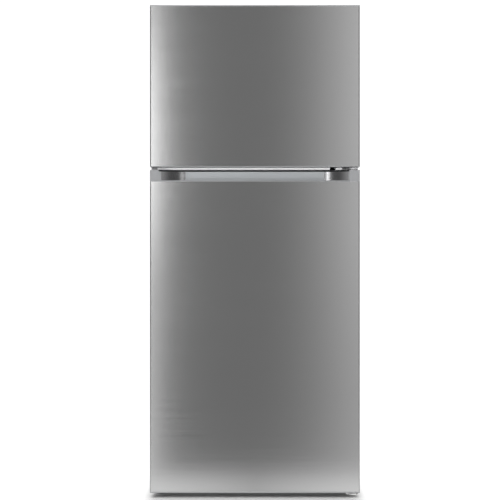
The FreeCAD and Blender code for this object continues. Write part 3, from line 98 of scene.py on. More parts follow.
# ------------------------------------------------------------------ node material helpers
class Graph:
    """A material's node graph, built one node at a time."""

    def __init__(self, name):
        self.material = bpy.data.materials.new(name)
        self.material.use_nodes = True
        self.tree = self.material.node_tree
        self.shader = self.tree.nodes["Principled BSDF"]

    def node(self, kind, **values):
        made = self.tree.nodes.new(kind)
        for key, value in values.items():
            setattr(made, key, value)
        return made

    def link(self, source, target):
        self.tree.links.new(source, target)

    def set(self, **values):
        for key, value in values.items():
            self.shader.inputs[key.replace("_", " ")].default_value = value

    def coordinates(self, scale):
        place = self.node("ShaderNodeTexCoord")
        mapping = self.node("ShaderNodeMapping")
        mapping.inputs["Scale"].default_value = scale
        self.link(place.outputs["Object"], mapping.inputs["Vector"])
        return mapping.outputs["Vector"]

    def object_axes(self):
        """The X, Y and Z of each point, in metres."""
        place = self.node("ShaderNodeTexCoord")
        split = self.node("ShaderNodeSeparateXYZ")
        self.link(place.outputs["Object"], split.inputs[0])
        return split.outputs

    def noise(self, scale, detail=3.0):
        made = self.node("ShaderNodeTexNoise")
        made.inputs["Scale"].default_value = 1.0
        made.inputs["Detail"].default_value = detail
        made.inputs["Roughness"].default_value = 0.5
        self.link(self.coordinates(scale), made.inputs["Vector"])
        return made.outputs["Fac"]

    def spread(self, value, low, high, start=0.25, end=0.75):
        made = self.node("ShaderNodeMapRange")
        made.inputs["From Min"].default_value = start
        made.inputs["From Max"].default_value = end
        made.inputs["To Min"].default_value = low
        made.inputs["To Max"].default_value = high
        self.link(value, made.inputs["Value"])
        return made.outputs["Result"]

    def smooth(self, value, low, high, start, end):
        """As spread, but easing in and out."""
        result = self.spread(value, low, high, start, end)
        result.node.interpolation_type = "SMOOTHSTEP"
        return result

    def math(self, operation, first, second):
        """One arithmetic step on two outputs, or on an output and a number."""
        made = self.node("ShaderNodeMath", operation=operation)
        for place, value in enumerate((first, second)):
            if isinstance(value, float):
                made.inputs[place].default_value = value
            else:
                self.link(value, made.inputs[place])
        return made.outputs["Value"]

    def blend_colors(self, value, first, second, start=0.3, end=0.7):
        ramp = self.node("ShaderNodeValToRGB")
        ramp.color_ramp.elements[0].position = start
        ramp.color_ramp.elements[1].position = end
        ramp.color_ramp.elements[0].color = (*first, 1.0)
        ramp.color_ramp.elements[1].color = (*second, 1.0)
        self.link(value, ramp.inputs["Fac"])
        return ramp.outputs["Color"]

    def bump(self, value, strength, distance):
        made = self.node("ShaderNodeBump")
        made.inputs["Strength"].default_value = strength
        made.inputs["Distance"].default_value = distance
        self.link(value, made.inputs["Height"])
        self.link(made.outputs["Normal"], self.shader.inputs["Normal"])


def grey(value, tint=(1.0, 1.0, 1.0)):
    """A tint made darker or lighter by a factor; a plain grey without a tint."""
    return tuple(value * part for part in tint)


def brushed_steel(name, level, base_roughness, grain):
    """Steel with fine horizontal brushing, coarser where the sheet bends round a door's side edges."""
    g = Graph(name)
    g.set(Metallic=1.0, Anisotropic=0.6, Anisotropic_Rotation=0.25)
    tangent = g.node("ShaderNodeTangent", direction_type="RADIAL", axis="Z")
    g.link(tangent.outputs["Tangent"], g.shader.inputs["Tangent"])
    streaks = g.noise((4.0, 4.0, 1400.0), detail=4.0)
    fine = g.noise((30.0, 30.0, 4200.0), detail=2.0)
    clouds = g.noise((2.2, 2.2, 3.1), detail=2.0)
    both = g.math("ADD", streaks, fine)
    tones = g.blend_colors(both, grey(level - grain), grey(level + grain), 0.7, 1.3)
    g.link(tones, g.shader.inputs["Base Color"])
    across = g.math("ABSOLUTE", g.object_axes()["X"], 0.0)
    bend = g.smooth(across, 0.0, BEND_ROUGHNESS, *DOOR_BEND_X)
    rough = g.math("ADD", g.spread(streaks, -0.03, 0.03), bend)
    cloudy = g.spread(clouds, base_roughness - 0.01, base_roughness + 0.01)
    g.link(g.math("ADD", rough, cloudy), g.shader.inputs["Roughness"])
    g.bump(both, 0.04, 0.0003)
    return g.material


def painted(name, color, roughness, peel_size=900.0, peel=0.08, metallic=0.0):
    """Paint or enamel with a fine orange-peel surface and slight tone changes."""
    g = Graph(name)
    g.set(Metallic=metallic, Coat_Weight=0.15, Coat_Roughness=0.25)
    clouds = g.noise((3.0, 3.0, 3.0), detail=3.0)
    g.link(g.blend_colors(clouds, grey(0.97, color), grey(1.03, color)), g.shader.inputs["Base Color"])
    peel_noise = g.noise((peel_size,) * 3, detail=2.0)
    g.link(g.spread(peel_noise, roughness - 0.04, roughness + 0.04), g.shader.inputs["Roughness"])
    g.bump(peel_noise, peel, 0.0005)
    return g.material


def moulded(name, color, roughness, grain_size=1500.0, grain=0.05, coat=0.0):
    """Moulded plastic with a fine tool grain."""
    g = Graph(name)
    g.set(Coat_Weight=coat, Coat_Roughness=0.15, Specular_IOR_Level=0.45)
    clouds = g.noise((5.0, 5.0, 5.0), detail=2.0)
    g.link(g.blend_colors(clouds, grey(0.975, color), grey(1.025, color)), g.shader.inputs["Base Color"])
    specks = g.noise((grain_size,) * 3, detail=2.0)
    g.link(g.spread(specks, roughness - 0.05, roughness + 0.05), g.shader.inputs["Roughness"])
    g.bump(specks, grain, 0.0004)
    return g.material


def clear_plastic(name, color, roughness, transmission):
    """See-through moulded plastic, slightly frosted."""
    g = Graph(name)
    g.set(IOR=1.46, Transmission_Weight=transmission)
    clouds = g.noise((9.0, 9.0, 9.0), detail=2.0)
    g.link(g.blend_colors(clouds, grey(0.98, color), grey(1.0, color)), g.shader.inputs["Base Color"])
    specks = g.noise((300.0,) * 3, detail=2.0)
    g.link(g.spread(specks, roughness - 0.02, roughness + 0.03), g.shader.inputs["Roughness"])
    return g.material


def rubber(name, color):
    """Soft matt rubber or vinyl."""
    g = Graph(name)
    g.set(Specular_IOR_Level=0.3, Sheen_Weight=0.08)
    specks = g.noise((700.0,) * 3, detail=3.0)
    g.link(g.blend_colors(specks, grey(0.93, color), grey(1.05, color)), g.shader.inputs["Base Color"])
    g.link(g.spread(specks, 0.62, 0.78), g.shader.inputs["Roughness"])
    g.bump(specks, 0.06, 0.0004)
    return g.material


def spangled_zinc(name, color):
    """Galvanised sheet with faint crystal patches."""
    g = Graph(name)
    g.set(Metallic=0.75)
    cells = g.node("ShaderNodeTexVoronoi")
    cells.inputs["Scale"].default_value = 70.0
    g.link(g.coordinates((1.0, 1.0, 1.0)), cells.inputs["Vector"])
    g.link(g.blend_colors(cells.outputs["Color"], grey(0.93, color), grey(1.04, color), 0.1, 0.9),
           g.shader.inputs["Base Color"])
    g.link(g.spread(cells.outputs["Color"], 0.36, 0.5, 0.1, 0.9), g.shader.inputs["Roughness"])
    return g.material


def bare_metal(name, color, roughness):
    """Plain metal with fine wear in its shine."""
    g = Graph(name)
    g.set(Metallic=1.0)
    wear = g.noise((60.0, 60.0, 60.0), detail=4.0)
    g.link(g.blend_colors(wear, grey(0.92, color), grey(1.06, color)), g.shader.inputs["Base Color"])
    g.link(g.spread(wear, roughness - 0.06, roughness + 0.08), g.shader.inputs["Roughness"])
    g.bump(wear, 0.03, 0.0004)
    return g.material


def foam_material(name):
    """Cut polyurethane foam with small cells."""
    g = Graph(name)
    cells = g.noise((500.0,) * 3, detail=3.0)
    g.link(g.blend_colors(cells, (0.62, 0.52, 0.28), (0.78, 0.69, 0.42)), g.shader.inputs["Base Color"])
    g.link(g.spread(cells, 0.85, 0.95), g.shader.inputs["Roughness"])
    g.bump(cells, 0.4, 0.0008)
    return g.material


def pocket_silver(name, flat_grey, lip_painted_shade_grey, polished_grey):
    """The handle trim: satin on its flat back, polished in its end scoops, greyer on its front lip as
    painted shade.
    """
    g = Graph(name)
    g.set(Coat_Weight=0.1, Coat_Roughness=0.3)
    axes = g.object_axes()
    across = g.math("ABSOLUTE", axes["X"], 0.0)
    scoop = g.smooth(across, 0.0, 1.0, POCKET_FLAT_HALF + 0.011, POCKET_FLAT_HALF + 0.019)
    inside = g.smooth(axes["Y"], 0.0, 1.0, DOOR_FRONT_Y + 0.0004, DOOR_FRONT_Y + 0.0012)
    polish = g.math("MULTIPLY", scoop, inside)
    brushing = g.noise((3.0, 3.0, 1100.0), detail=3.0)
    # The front lip takes the darker grey as painted shade; the recessed back keeps the satin grey.
    satin = g.blend_colors(inside, lip_painted_shade_grey, flat_grey, 0.0, 1.0)
    color = g.node("ShaderNodeMix", data_type="RGBA")
    g.link(polish, color.inputs["Factor"])
    g.link(satin, color.inputs[6])
    polished = g.blend_colors(brushing, grey(0.86, polished_grey), grey(1.14, polished_grey))
    g.link(polished, color.inputs[7])
    g.link(color.outputs[2], g.shader.inputs["Base Color"])
    g.link(g.spread(polish, 0.35, 1.0, 0.0, 1.0), g.shader.inputs["Metallic"])
    roughness = g.math("ADD", g.spread(polish, 0.33, 0.20, 0.0, 1.0), g.spread(brushing, -0.03, 0.03))
    g.link(roughness, g.shader.inputs["Roughness"])
    g.bump(brushing, 0.05, 0.0003)
    return g.material


def lamp_glow(name):
    """Warm light from a small lamp dome."""
    g = Graph(name)
    g.set(Base_Color=(0.95, 0.93, 0.85, 1.0), Roughness=0.3, Emission_Strength=6.0)
    specks = g.noise((400.0,) * 3, detail=2.0)
    warm = g.blend_colors(specks, (1.0, 0.90, 0.72), (1.0, 0.94, 0.80))
    g.link(warm, g.shader.inputs["Emission Color"])
    return g.material


STEEL = brushed_steel("stainless_brushed", 0.60, 0.17, 0.010)
SIDE_PAINT = painted("side_paint", grey(0.30, (1.0, 1.01, 1.02)), 0.42)
ZINC = spangled_zinc("zinc_sheet", (0.55, 0.56, 0.57))
FOAM = foam_material("insulation_foam")
LINER = moulded("white_liner", (0.80, 0.81, 0.81), 0.32, 500.0, 0.03, coat=0.2)
RAIL = painted("rail_paint", (0.93, 0.93, 0.94), 0.35)
DARK_METAL = painted("dark_bracket", (0.62, 0.62, 0.63), 0.38, metallic=0.2)
PLATED = painted("plated_steel", (0.82, 0.82, 0.81), 0.3, metallic=0.5)
GREY_PLASTIC = moulded("grey_plastic", (0.30, 0.305, 0.31), 0.45)
CAP_PLASTIC = moulded("handle_cap_plastic", (0.235, 0.237, 0.244), 0.5, 420.0, 0.5)
DARK_PLASTIC = moulded("dark_plastic", (0.025, 0.025, 0.027), 0.5)
# The second grey, for the trim's front lip, is darker as painted shade.
SILVER = pocket_silver("silver_trim", (0.45, 0.467, 0.483), (0.25, 0.255, 0.26), (0.57, 0.57, 0.58))
GASKET = rubber("gasket_vinyl", (0.20, 0.205, 0.21))
BLACK_RUBBER = rubber("black_rubber", (0.02, 0.02, 0.02))
CLEAR_BIN = clear_plastic("clear_bin", (0.93, 0.96, 0.98), 0.12, 0.92)
SHELF_GLASS = clear_plastic("shelf_glass", (0.90, 0.97, 0.94), 0.03, 1.0)
WHITE_PLASTIC = moulded("white_plastic", (0.78, 0.79, 0.79), 0.35, 900.0, 0.04)
WIRE_COAT = painted("wire_coat", (0.80, 0.80, 0.80), 0.3)
ALUMINIUM = bare_metal("fin_aluminium", (0.80, 0.81, 0.82), 0.35)
ENAMEL = painted("black_enamel", (0.012, 0.012, 0.013), 0.28, 400.0, 0.1)
COPPER = bare_metal("copper_tube", (0.78, 0.42, 0.28), 0.3)
# Near-white paint on the seam beads is a painted highlight along each seam.
BEAD_HIGHLIGHT_PAINT = painted("bead_painted_highlight", (0.90, 0.91, 0.92), 0.22, metallic=0.4)
PRINT_INK = moulded("print_ink", (0.05, 0.07, 0.10), 0.5)
LAMP_GLOW = lamp_glow("lamp_glow")

FINISHES = {
    "stainless": STEEL, "grey_paint": SIDE_PAINT, "galvanised": ZINC, "foam": FOAM,
    "white_liner": LINER, "rail_steel": RAIL, "dark_metal": DARK_METAL, "zinc_steel": PLATED,
    "grey_plastic": GREY_PLASTIC, "cap_plastic": CAP_PLASTIC, "silver_trim": SILVER,
    "dark_plastic": DARK_PLASTIC, "gasket_rubber": GASKET, "clear_bin": CLEAR_BIN,
    "shelf_glass": SHELF_GLASS, "white_plastic": WHITE_PLASTIC, "coated_wire": WIRE_COAT,
    "coil_aluminium": ALUMINIUM, "black_enamel": ENAMEL, "mount_rubber": BLACK_RUBBER,
    "copper_tube": COPPER,
}


def paint_cad_nodes():
    """Every CAD node gets the finish of its material slot."""
    slot_of = {row["node"]: row["material_slot"] for row in frame["record"]["subparts"]}
    for name, node in nodes.items():
        finish = FINISHES[slot_of[name]]
        if not node.material_slots:
            node.data.materials.append(finish)
        for place in node.material_slots:
            place.material = finish


paint_cad_nodes()


# ------------------------------------------------------------------ piece helpers
def new_piece(name, built, material, body):
    """Turns a built mesh into a smooth-shaded piece that rides a body."""
    mesh = bpy.data.meshes.new(name)
    bmesh.ops.recalc_face_normals(built, faces=built.faces)
    built.to_mesh(mesh)
    built.free()
    for polygon in mesh.polygons:
        polygon.use_smooth = True
    piece = bpy.data.objects.new(name, mesh)
    scene.collection.objects.link(piece)
    mesh.materials.append(material)
    split = piece.modifiers.new("crisp_edges", "EDGE_SPLIT")
    split.split_angle = math.radians(38)
    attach(piece, body)
    return piece


def bridge(built, rings, path_closed=False):
    """Faces between closed rings of points; a run that doesn't meet itself gets end caps."""
    made = [[built.verts.new(point) for point in ring] for ring in rings]
    pairs = list(zip(made, made[1:]))
    if path_closed:
        pairs.append((made[-1], made[0]))
    for first, second in pairs:
        count = len(first)
        for index in range(count):
            after = (index + 1) % count
            built.faces.new((first[index], first[after], second[after], second[index]))
    if not path_closed:
        built.faces.new(list(reversed(made[0])))
        built.faces.new(made[-1])


def turned(built, profile, centre, axis, steps=40):
    """A turned form from (radius, distance along the axis) points; a zero radius closes its end."""
    axis = Vector(axis).normalized()
    side = axis.orthogonal().normalized()
    other = axis.cross(side)
    rings = []
    for radius, along in profile:
        ring = []
        for step in range(steps):
            angle = math.tau * step / steps
            outward = side * math.cos(angle) + other * math.sin(angle)
            ring.append(Vector(centre) + axis * along + outward * max(radius, 1e-5))
        rings.append(ring)
    bridge(built, rings)


def turned_piece(name, profile, centre, axis, material, body):
    """One turned piece."""
    built = bmesh.new()
    turned(built, profile, centre, axis)
    new_piece(name, built, material, body)


def drawn_piece(name, profiles, material, body):
    """One piece drawn out along a row of closed outlines."""
    built = bmesh.new()
    bridge(built, profiles)
    new_piece(name, built, material, body)


def corners_of(node):
    """The lowest and highest corner of a CAD node's box."""
    return tuple(Vector(corner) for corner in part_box(node))


# ------------------------------------------------------------------ pieces on the front
BEAD_RADIUS = 0.0014


def trim_bead(side):
    """Rounded bead down the seam between the handle trim and one end cap, its near-white paint a painted
    highlight along the seam.
    """
    low, high = corners_of("handle_cap_" + side)
    seam_x = high.x if side == "left" else low.x
    rings = []
    steps = 16
    for z in (low.z + 0.0005, high.z - 0.0005):
        ring = []
        for step in range(steps):
            angle = math.tau * step / steps
            offset = Vector((math.cos(angle), math.sin(angle), 0.0)) * BEAD_RADIUS
            ring.append(Vector((seam_x, low.y + BEAD_RADIUS + 0.0001, z)) + offset)
        rings.append(ring)
    drawn_piece("trim_bead_" + side, rings, BEAD_HIGHLIGHT_PAINT, "fridge_door")


def plug_cap():
    """Domed dark cap over the wide-headed screw left of the middle hinge."""
    front_y = corners_of("cabinet_shell")[0].y
    centre = (PLUG_SCREW_X, front_y, PLUG_SCREW_Z)
    profile = [
        (PLUG_HEAD_RADIUS, 0.0), (PLUG_HEAD_RADIUS, 0.0022), (PLUG_HEAD_RADIUS * 0.93, 0.0031),
        (PLUG_HEAD_RADIUS * 0.7, 0.0037), (PLUG_HEAD_RADIUS * 0.35, 0.0041), (0.0, 0.0042),
    ]
    turned_piece("plug_cap", profile, centre, (0, -1, 0), DARK_PLASTIC, "cabinet")


# ------------------------------------------------------------------ strips that close the foam's edges
STRIP_Y = (-0.3008, -0.2984)
STRIP_EDGE = 0.0006
# Each outline of the hem, from its front to its back, as (y, how far its edge is drawn in).
HEM_OUTLINES = ((0.3505, 0.0), (0.3518, 0.0), (0.3522, 0.0004))


def rear_strip():
    """Moulded strip across the freezer door's upper back, from its liner to its top cap."""
    liner_low, liner_high = corners_of("freezer_door_liner")
    bottom_z = liner_high.z
    top_z = corners_of("freezer_door_foam")[1].z
    front_y, back_y = STRIP_Y
    profile = (
        (front_y, bottom_z), (back_y - STRIP_EDGE, bottom_z), (back_y, bottom_z + STRIP_EDGE),
        (back_y, top_z - STRIP_EDGE), (back_y - STRIP_EDGE, top_z), (front_y, top_z),
    )
    rings = []
    for x in (liner_low.x, HINGE_NOTCH_X):
        rings.append([Vector((x, y, z)) for y, z in profile])
    drawn_piece("freezer_door_rear_strip", rings, GREY_PLASTIC, "freezer_door")


def hem_outline(inset):
    """The x and z places round the hem, with two upper corners that follow the shell's."""
    low, high = corners_of("back_panel")
    top_z = corners_of("cabinet_shell")[1].z - SHELL_SHEET
    places = [(low.x + inset, high.z + inset), (high.x - inset, high.z + inset)]
    steps = 6
    radius = SHELL_CORNER - inset
    for side, first in ((1, 0.0), (-1, math.pi / 2)):
        centre_x = side * (high.x - SHELL_CORNER)
        for step in range(steps + 1):
            angle = first + step / steps * math.pi / 2
            x = centre_x + radius * math.cos(angle)
            places.append((x, top_z - SHELL_CORNER + radius * math.sin(angle)))
    return places


def back_hem():
    """Folded hem along the top of the back panel, up to the shell."""
    rings = []
    for y, inset in HEM_OUTLINES:
        rings.append([Vector((x, y, z)) for x, z in hem_outline(inset)])
    drawn_piece("back_hem", rings, ZINC, "cabinet")


# ------------------------------------------------------------------ door gaskets
BELLOWS_HALF = (
    (0.0010, 0.0), (0.0002, 0.0015), (0.0016, 0.0030), (0.0002, 0.0046),
    (0.0006, 0.0076), (0.0022, 0.0096), (0.0052, 0.0092), (0.0070, 0.0097),
)
GASKET_WIDTH = 0.018


def bellows_gasket(door):
    """Vinyl gasket with a folded bellows and a magnet strip, mitred at its four corners."""
    node = door + "_gasket"
    low, high = corners_of(node)
    profile = list(BELLOWS_HALF)
    profile += [(GASKET_WIDTH - inset, height) for inset, height in reversed(BELLOWS_HALF)]
    built = bmesh.new()
    rings = []
    corners = (
        (low.x, low.z, 1, 1), (high.x, low.z, -1, 1), (high.x, high.z, -1, -1), (low.x, high.z, 1, -1),
    )
    for x, z, inward_x, inward_z in corners:
        ring = []
        for inset, height in profile:
            ring.append(Vector((x + inward_x * inset, low.y + height, z + inward_z * inset)))
        rings.append(ring)
    bridge(built, rings, path_closed=True)
    piece = new_piece(door + "_bellows_gasket", built, GASKET, door)
    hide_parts(node)


# ------------------------------------------------------------------ bins and drawers
BIN_CORNER = 0.024
RAIL_REACH_BACK = 0.060
CORNER_STEPS = 10
# The rail's section as (outward from the bin's face, up from its rim).
RAIL_PROFILE = (
    (-0.0032, -0.0150), (0.0006, -0.0150), (0.0011, -0.0140), (0.0011, 0.0002), (0.0004, 0.0011),
    (-0.0026, 0.0011), (-0.0033, 0.0002),
)


def bin_rail(bin_name):
    """White guard band along the front rim of a door bin, round both its corners."""
    high = corners_of(bin_name)[1]
    half = high.x
    path = [(Vector((-half, high.y - RAIL_REACH_BACK, high.z)), Vector((-1, 0, 0)))]
    for side in (-1, 1):
        centre = Vector((side * (half - BIN_CORNER), high.y - BIN_CORNER, high.z))
        for step in range(CORNER_STEPS + 1):
            share = step / CORNER_STEPS
            angle = (share if side < 0 else 1 - share) * math.pi / 2
            outward = Vector((side * math.cos(angle), math.sin(angle), 0))
            path.append((centre + outward * BIN_CORNER, outward))
    path.append((Vector((half, high.y - RAIL_REACH_BACK, high.z)), Vector((1, 0, 0))))
    rings = []
    for point, outward in path:
        rings.append([point + outward * out + Vector((0, 0, up)) for out, up in RAIL_PROFILE])
    drawn_piece(bin_name + "_rail", rings, WHITE_PLASTIC, bin_name)


def crisper_trim(side):
    """White cap strip over the top edge of a drawer's front."""
    name = "crisper_" + side
    low, high = corners_of(name)
    inset = 0.004
    profile = (
        (-0.0010, -0.006), (-0.0012, 0.0008), (-0.0004, 0.0018), (0.0062, 0.0018), (0.0070, 0.0008),
        (0.0070, -0.004),
    )
    rings = []
    for x in (low.x + inset, high.x - inset):
        rings.append([Vector((x, low.y + back, high.z + up)) for back, up in profile])
    drawn_piece(name + "_trim", rings, WHITE_PLASTIC, name)


# ------------------------------------------------------------------ lamp and thermostat dial
LAMP_BOARD_HALF = 0.034
LAMP_BOARD_GAP = 0.010
LAMP_BOARD_EDGE = 0.0008
DOME_SPACING_X = 0.022
DOME_SPACING_Y = 0.016


def lamp_board():
    """Small lamp board with six domed lights above the lamp cover."""
    low, high = corners_of("lamp_cover")
    centre = (low + high) / 2
    board_z = high.z + LAMP_BOARD_GAP
    rings = []
    for level, inset in enumerate((LAMP_BOARD_EDGE, 0.0, 0.0, LAMP_BOARD_EDGE)):
        reach = LAMP_BOARD_HALF - inset
        z = board_z + level * LAMP_BOARD_EDGE
        corners = ((-1, -1), (1, -1), (1, 1), (-1, 1))
        rings.append([Vector((centre.x + x * reach, centre.y + y * reach, z)) for x, y in corners])
    drawn_piece("lamp_board", rings, WHITE_PLASTIC, "cabinet")
    dome = [(0.0036, 0.0), (0.0036, 0.0012), (0.0031, 0.0026), (0.0019, 0.0036), (0.0, 0.0040)]
    built = bmesh.new()
    for row in (-1, 1):
        for column in (-1, 0, 1):
            spot = (centre.x + column * DOME_SPACING_X, centre.y + row * DOME_SPACING_Y, board_z)
            turned(built, dome, spot, (0, 0, -1), 20)
    new_piece("lamp_domes", built, LAMP_GLOW, "cabinet")


DIAL_MARKS = 7
DIAL_START_DEGREES = -120.0
DIAL_STEP_DEGREES = 40.0
DIAL_NUMBER_SIZE = 0.0085
DIAL_NUMBER_RELIEF = 0.00015
DIAL_NUMBER_DISTANCE = 0.0125
TICK_RELIEF = 0.0003
# A tick's outline as (distance from the knob, half its width).
TICK_OUTLINE = ((0.0022, 0.0001), (0.0028, 0.0006), (0.0062, 0.0006), (0.0068, 0.0001))


def dial_tick(built, rim, outward):
    """One raised tick that points away from the knob's rim."""
    across = Vector((-outward.y, outward.x, 0))
    down = Vector((0, 0, -TICK_RELIEF))
    rings = []
    for distance, half_width in TICK_OUTLINE:
        base = rim + outward * distance
        side = across * half_width
        rings.append([base - side, base + side, base + side * 0.7 + down, base - side * 0.7 + down])
    bridge(built, rings)


def dial_number(count, place):
    """One printed number, read from below."""
    number = bpy.data.curves.new("dial_number_%d" % count, "FONT")
    number.body = str(count)
    number.size = DIAL_NUMBER_SIZE
    number.extrude = DIAL_NUMBER_RELIEF
    number.align_x = "CENTER"
    number.align_y = "CENTER"
    number.materials.append(PRINT_INK)
    piece = bpy.data.objects.new(number.name, number)
    scene.collection.objects.link(piece)
    piece.location = place
    piece.rotation_euler = (math.pi, 0, 0)
    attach(piece, "cabinet")


def dial_marks():
    """Raised ticks and the numbers 1 to 7 round the thermostat knob, on the housing's underside."""
    low, high = corners_of("thermostat_knob")
    knob_radius = (high.x - low.x) / 2
    under_z = corners_of("control_housing")[0].z
    middle = Vector(((low.x + high.x) / 2, (low.y + high.y) / 2, under_z))
    built = bmesh.new()
    for mark in range(DIAL_MARKS):
        angle = math.radians(DIAL_START_DEGREES + mark * DIAL_STEP_DEGREES)
        outward = Vector((math.sin(angle), -math.cos(angle), 0))
        dial_tick(built, middle + outward * knob_radius, outward)
        place = middle + outward * (knob_radius + DIAL_NUMBER_DISTANCE) - Vector((0, 0, 0.0002))
        dial_number(mark + 1, place)
    new_piece("dial_ticks", built, PRINT_INK, "cabinet")


# ------------------------------------------------------------------ machine space
MOUNT_PLATE = 0.003
DRAIN_RIBS = 7
DRAIN_REACH_INTO_TRAY = 0.012


def mount_studs():
    """A stud, washer and nut through each rubber mount of the compressor."""
    low, high = corners_of("compressor_mounts")
    plate_top = high.z + MOUNT_PLATE
    profile = [
        (0.0085, 0.0), (0.0085, 0.0012), (0.0055, 0.0012), (0.0055, 0.0060),
        (0.0030, 0.0062), (0.0030, 0.0110), (0.0022, 0.0120), (0.0, 0.0120),
    ]
    built = bmesh.new()
    for x in (low.x + MOUNT_RADIUS, high.x - MOUNT_RADIUS):
        for y in (low.y + MOUNT_RADIUS, high.y - MOUNT_RADIUS):
            turned(built, profile, (x, y, plate_top), (0, 0, 1), 24)
    new_piece("mount_studs", built, PLATED, "cabinet")


def drain_spout():
    """Ribbed spout that brings defrost water from the roof of the machine space down to its tray."""
    tray_low, tray_high = corners_of("drip_tray")
    roof_z = corners_of("base_pan")[1].z
    length = roof_z - tray_high.z + DRAIN_REACH_INTO_TRAY
    profile = [(0.0, 0.0), (0.016, 0.0), (0.016, 0.004), (0.0105, 0.0045)]
    for rib in range(DRAIN_RIBS):
        start = 0.012 + rib * (length - 0.040) / DRAIN_RIBS
        profile += [
            (0.0100, start), (0.0118, start + 0.002), (0.0118, start + 0.005), (0.0100, start + 0.007),
        ]
    profile += [
        (0.0092, length - 0.016), (0.0080, length), (0.0066, length),
        (0.0066, length - 0.010), (0.0, length - 0.010),
    ]
    centre = ((tray_low.x + tray_high.x) / 2, (tray_low.y + tray_high.y) / 2, roof_z - 0.0012)
    turned_piece("drain_spout", profile, centre, (0, 0, -1), DARK_PLASTIC, "cabinet")


def build_pieces():
    """Every piece that Blender adds."""
    for side in ("left", "right"):
        trim_bead(side)
        crisper_trim(side)
    plug_cap()
    rear_strip()
    back_hem()
    for door in ("freezer_door", "fridge_door"):
        bellows_gasket(door)
    for name in nodes:
        if "_bin_" in name:
            bin_rail(name)
    lamp_board()
    dial_marks()
    mount_studs()
    drain_spout()


build_pieces()


# ------------------------------------------------------------------ studio
def world_light():
    """White behind all that the camera sees; for reflections a room, darkest at its front corners."""
    world = bpy.data.worlds.new("studio")
    scene.world = world
    world.use_nodes = True
    tree = world.node_tree
    tree.nodes.clear()
    out = tree.nodes.new("ShaderNodeOutputWorld")
    seen = tree.nodes.new("ShaderNodeBackground")
    seen.inputs["Color"].default_value = (1.0, 1.0, 1.0, 1.0)
    seen.inputs["Strength"].default_value = WHITE_LEVEL
    room = tree.nodes.new("ShaderNodeBackground")
    room.inputs["Strength"].default_value = 1.0
    place = tree.nodes.new("ShaderNodeTexCoord")
    split = tree.nodes.new("ShaderNodeSeparateXYZ")
    tree.links.new(place.outputs["Generated"], split.inputs[0])
    turn = tree.nodes.new("ShaderNodeMapRange")
    turn.inputs["From Min"].default_value = -1.0
    tree.links.new(split.outputs["Y"], turn.inputs["Value"])
    ramp = tree.nodes.new("ShaderNodeValToRGB")
    levels = ramp.color_ramp.elements
    while len(levels) < len(ROOM_LEVELS):
        levels.new(0.5)
    for level, (position, brightness) in zip(levels, ROOM_LEVELS):
        level.position = position
        level.color = (*grey(brightness), 1.0)
    tree.links.new(turn.outputs["Result"], ramp.inputs["Fac"])
    tree.links.new(ramp.outputs["Color"], room.inputs["Color"])
    path = tree.nodes.new("ShaderNodeLightPath")
    mix = tree.nodes.new("ShaderNodeMixShader")
    tree.links.new(path.outputs["Is Camera Ray"], mix.inputs["Fac"])
    tree.links.new(room.outputs["Background"], mix.inputs[1])
    tree.links.new(seen.outputs["Background"], mix.inputs[2])
    tree.links.new(mix.outputs["Shader"], out.inputs["Surface"])


def softbox(name, place, target, width, height, power):
    """A large flat light that neither the camera nor a reflection sees."""
    data = bpy.data.lights.new(name, "AREA")
    data.shape = "RECTANGLE"
    data.size = width
    data.size_y = height
    data.energy = power
    light = bpy.data.objects.new(name, data)
    scene.collection.objects.link(light)
    light.location = place
    light.rotation_euler = (Vector(target) - Vector(place)).to_track_quat("-Z", "Y").to_euler()
    light.visible_camera = False
    light.visible_glossy = False


def stage_plane(name, corners, material):
    """A flat stage piece from four corners."""
    mesh = bpy.data.meshes.new(name)
    mesh.from_pydata(corners, [], [(0, 1, 2, 3)])
    plane = bpy.data.objects.new(name, mesh)
    scene.collection.objects.link(plane)
    mesh.materials.append(material)
    return plane


def floor():
    """Floor that fades into the white background close round the refrigerator; near its footprint it is a
    darker grey, painted shade that deepens the real shadows there.
    """
    g = Graph("floor_painted_shade")
    grain = g.noise((40.0, 40.0, 40.0), detail=2.0)
    g.link(g.blend_colors(grain, grey(FLOOR_PAINTED_SHADE_GREY - 0.007), grey(FLOOR_PAINTED_SHADE_GREY + 0.007)),
           g.shader.inputs["Base Color"])
    g.set(Roughness=0.9, Specular_IOR_Level=0.1)
    # The painted shade patch: the footprint's box, fading to the white glow beyond it.
    axes = g.object_axes()
    beyond = []
    for axis, half in zip("XY", FLOOR_SHADE_HALF):
        beyond.append(g.math("SUBTRACT", g.math("ABSOLUTE", axes[axis], 0.0), half))
    distance = g.math("MAXIMUM", *beyond)
    path = g.node("ShaderNodeLightPath")
    far = g.math("MULTIPLY", g.smooth(distance, 0.0, 1.0, *FLOOR_FADE), path.outputs["Is Camera Ray"])
    glow = g.node("ShaderNodeEmission")
    glow.inputs["Strength"].default_value = WHITE_LEVEL
    mix = g.node("ShaderNodeMixShader")
    g.link(far, mix.inputs["Fac"])
    g.link(g.shader.outputs["BSDF"], mix.inputs[1])
    g.link(glow.outputs["Emission"], mix.inputs[2])
    g.link(mix.outputs["Shader"], g.tree.nodes["Material Output"].inputs["Surface"])
    sides = ((-1, -1), (1, -1), (1, 1), (-1, 1))
    ground = stage_plane("floor", [(x * FLOOR_REACH, y * FLOOR_REACH, 0.0) for x, y in sides], g.material)
    ground.visible_glossy = False


def only_reflected(plane):
    """A stage piece that is seen in shiny surfaces and nowhere else."""
    plane.visible_camera = False
    plane.visible_diffuse = False
    plane.visible_shadow = False
    plane.visible_transmission = False


def light_graph(name):
    """The graph of a surface that gives off white light and reflects nothing."""
    g = Graph(name)
    g.set(Base_Color=(0.0, 0.0, 0.0, 1.0), Emission_Color=(1.0, 1.0, 1.0, 1.0), Roughness=0.9)
    return g


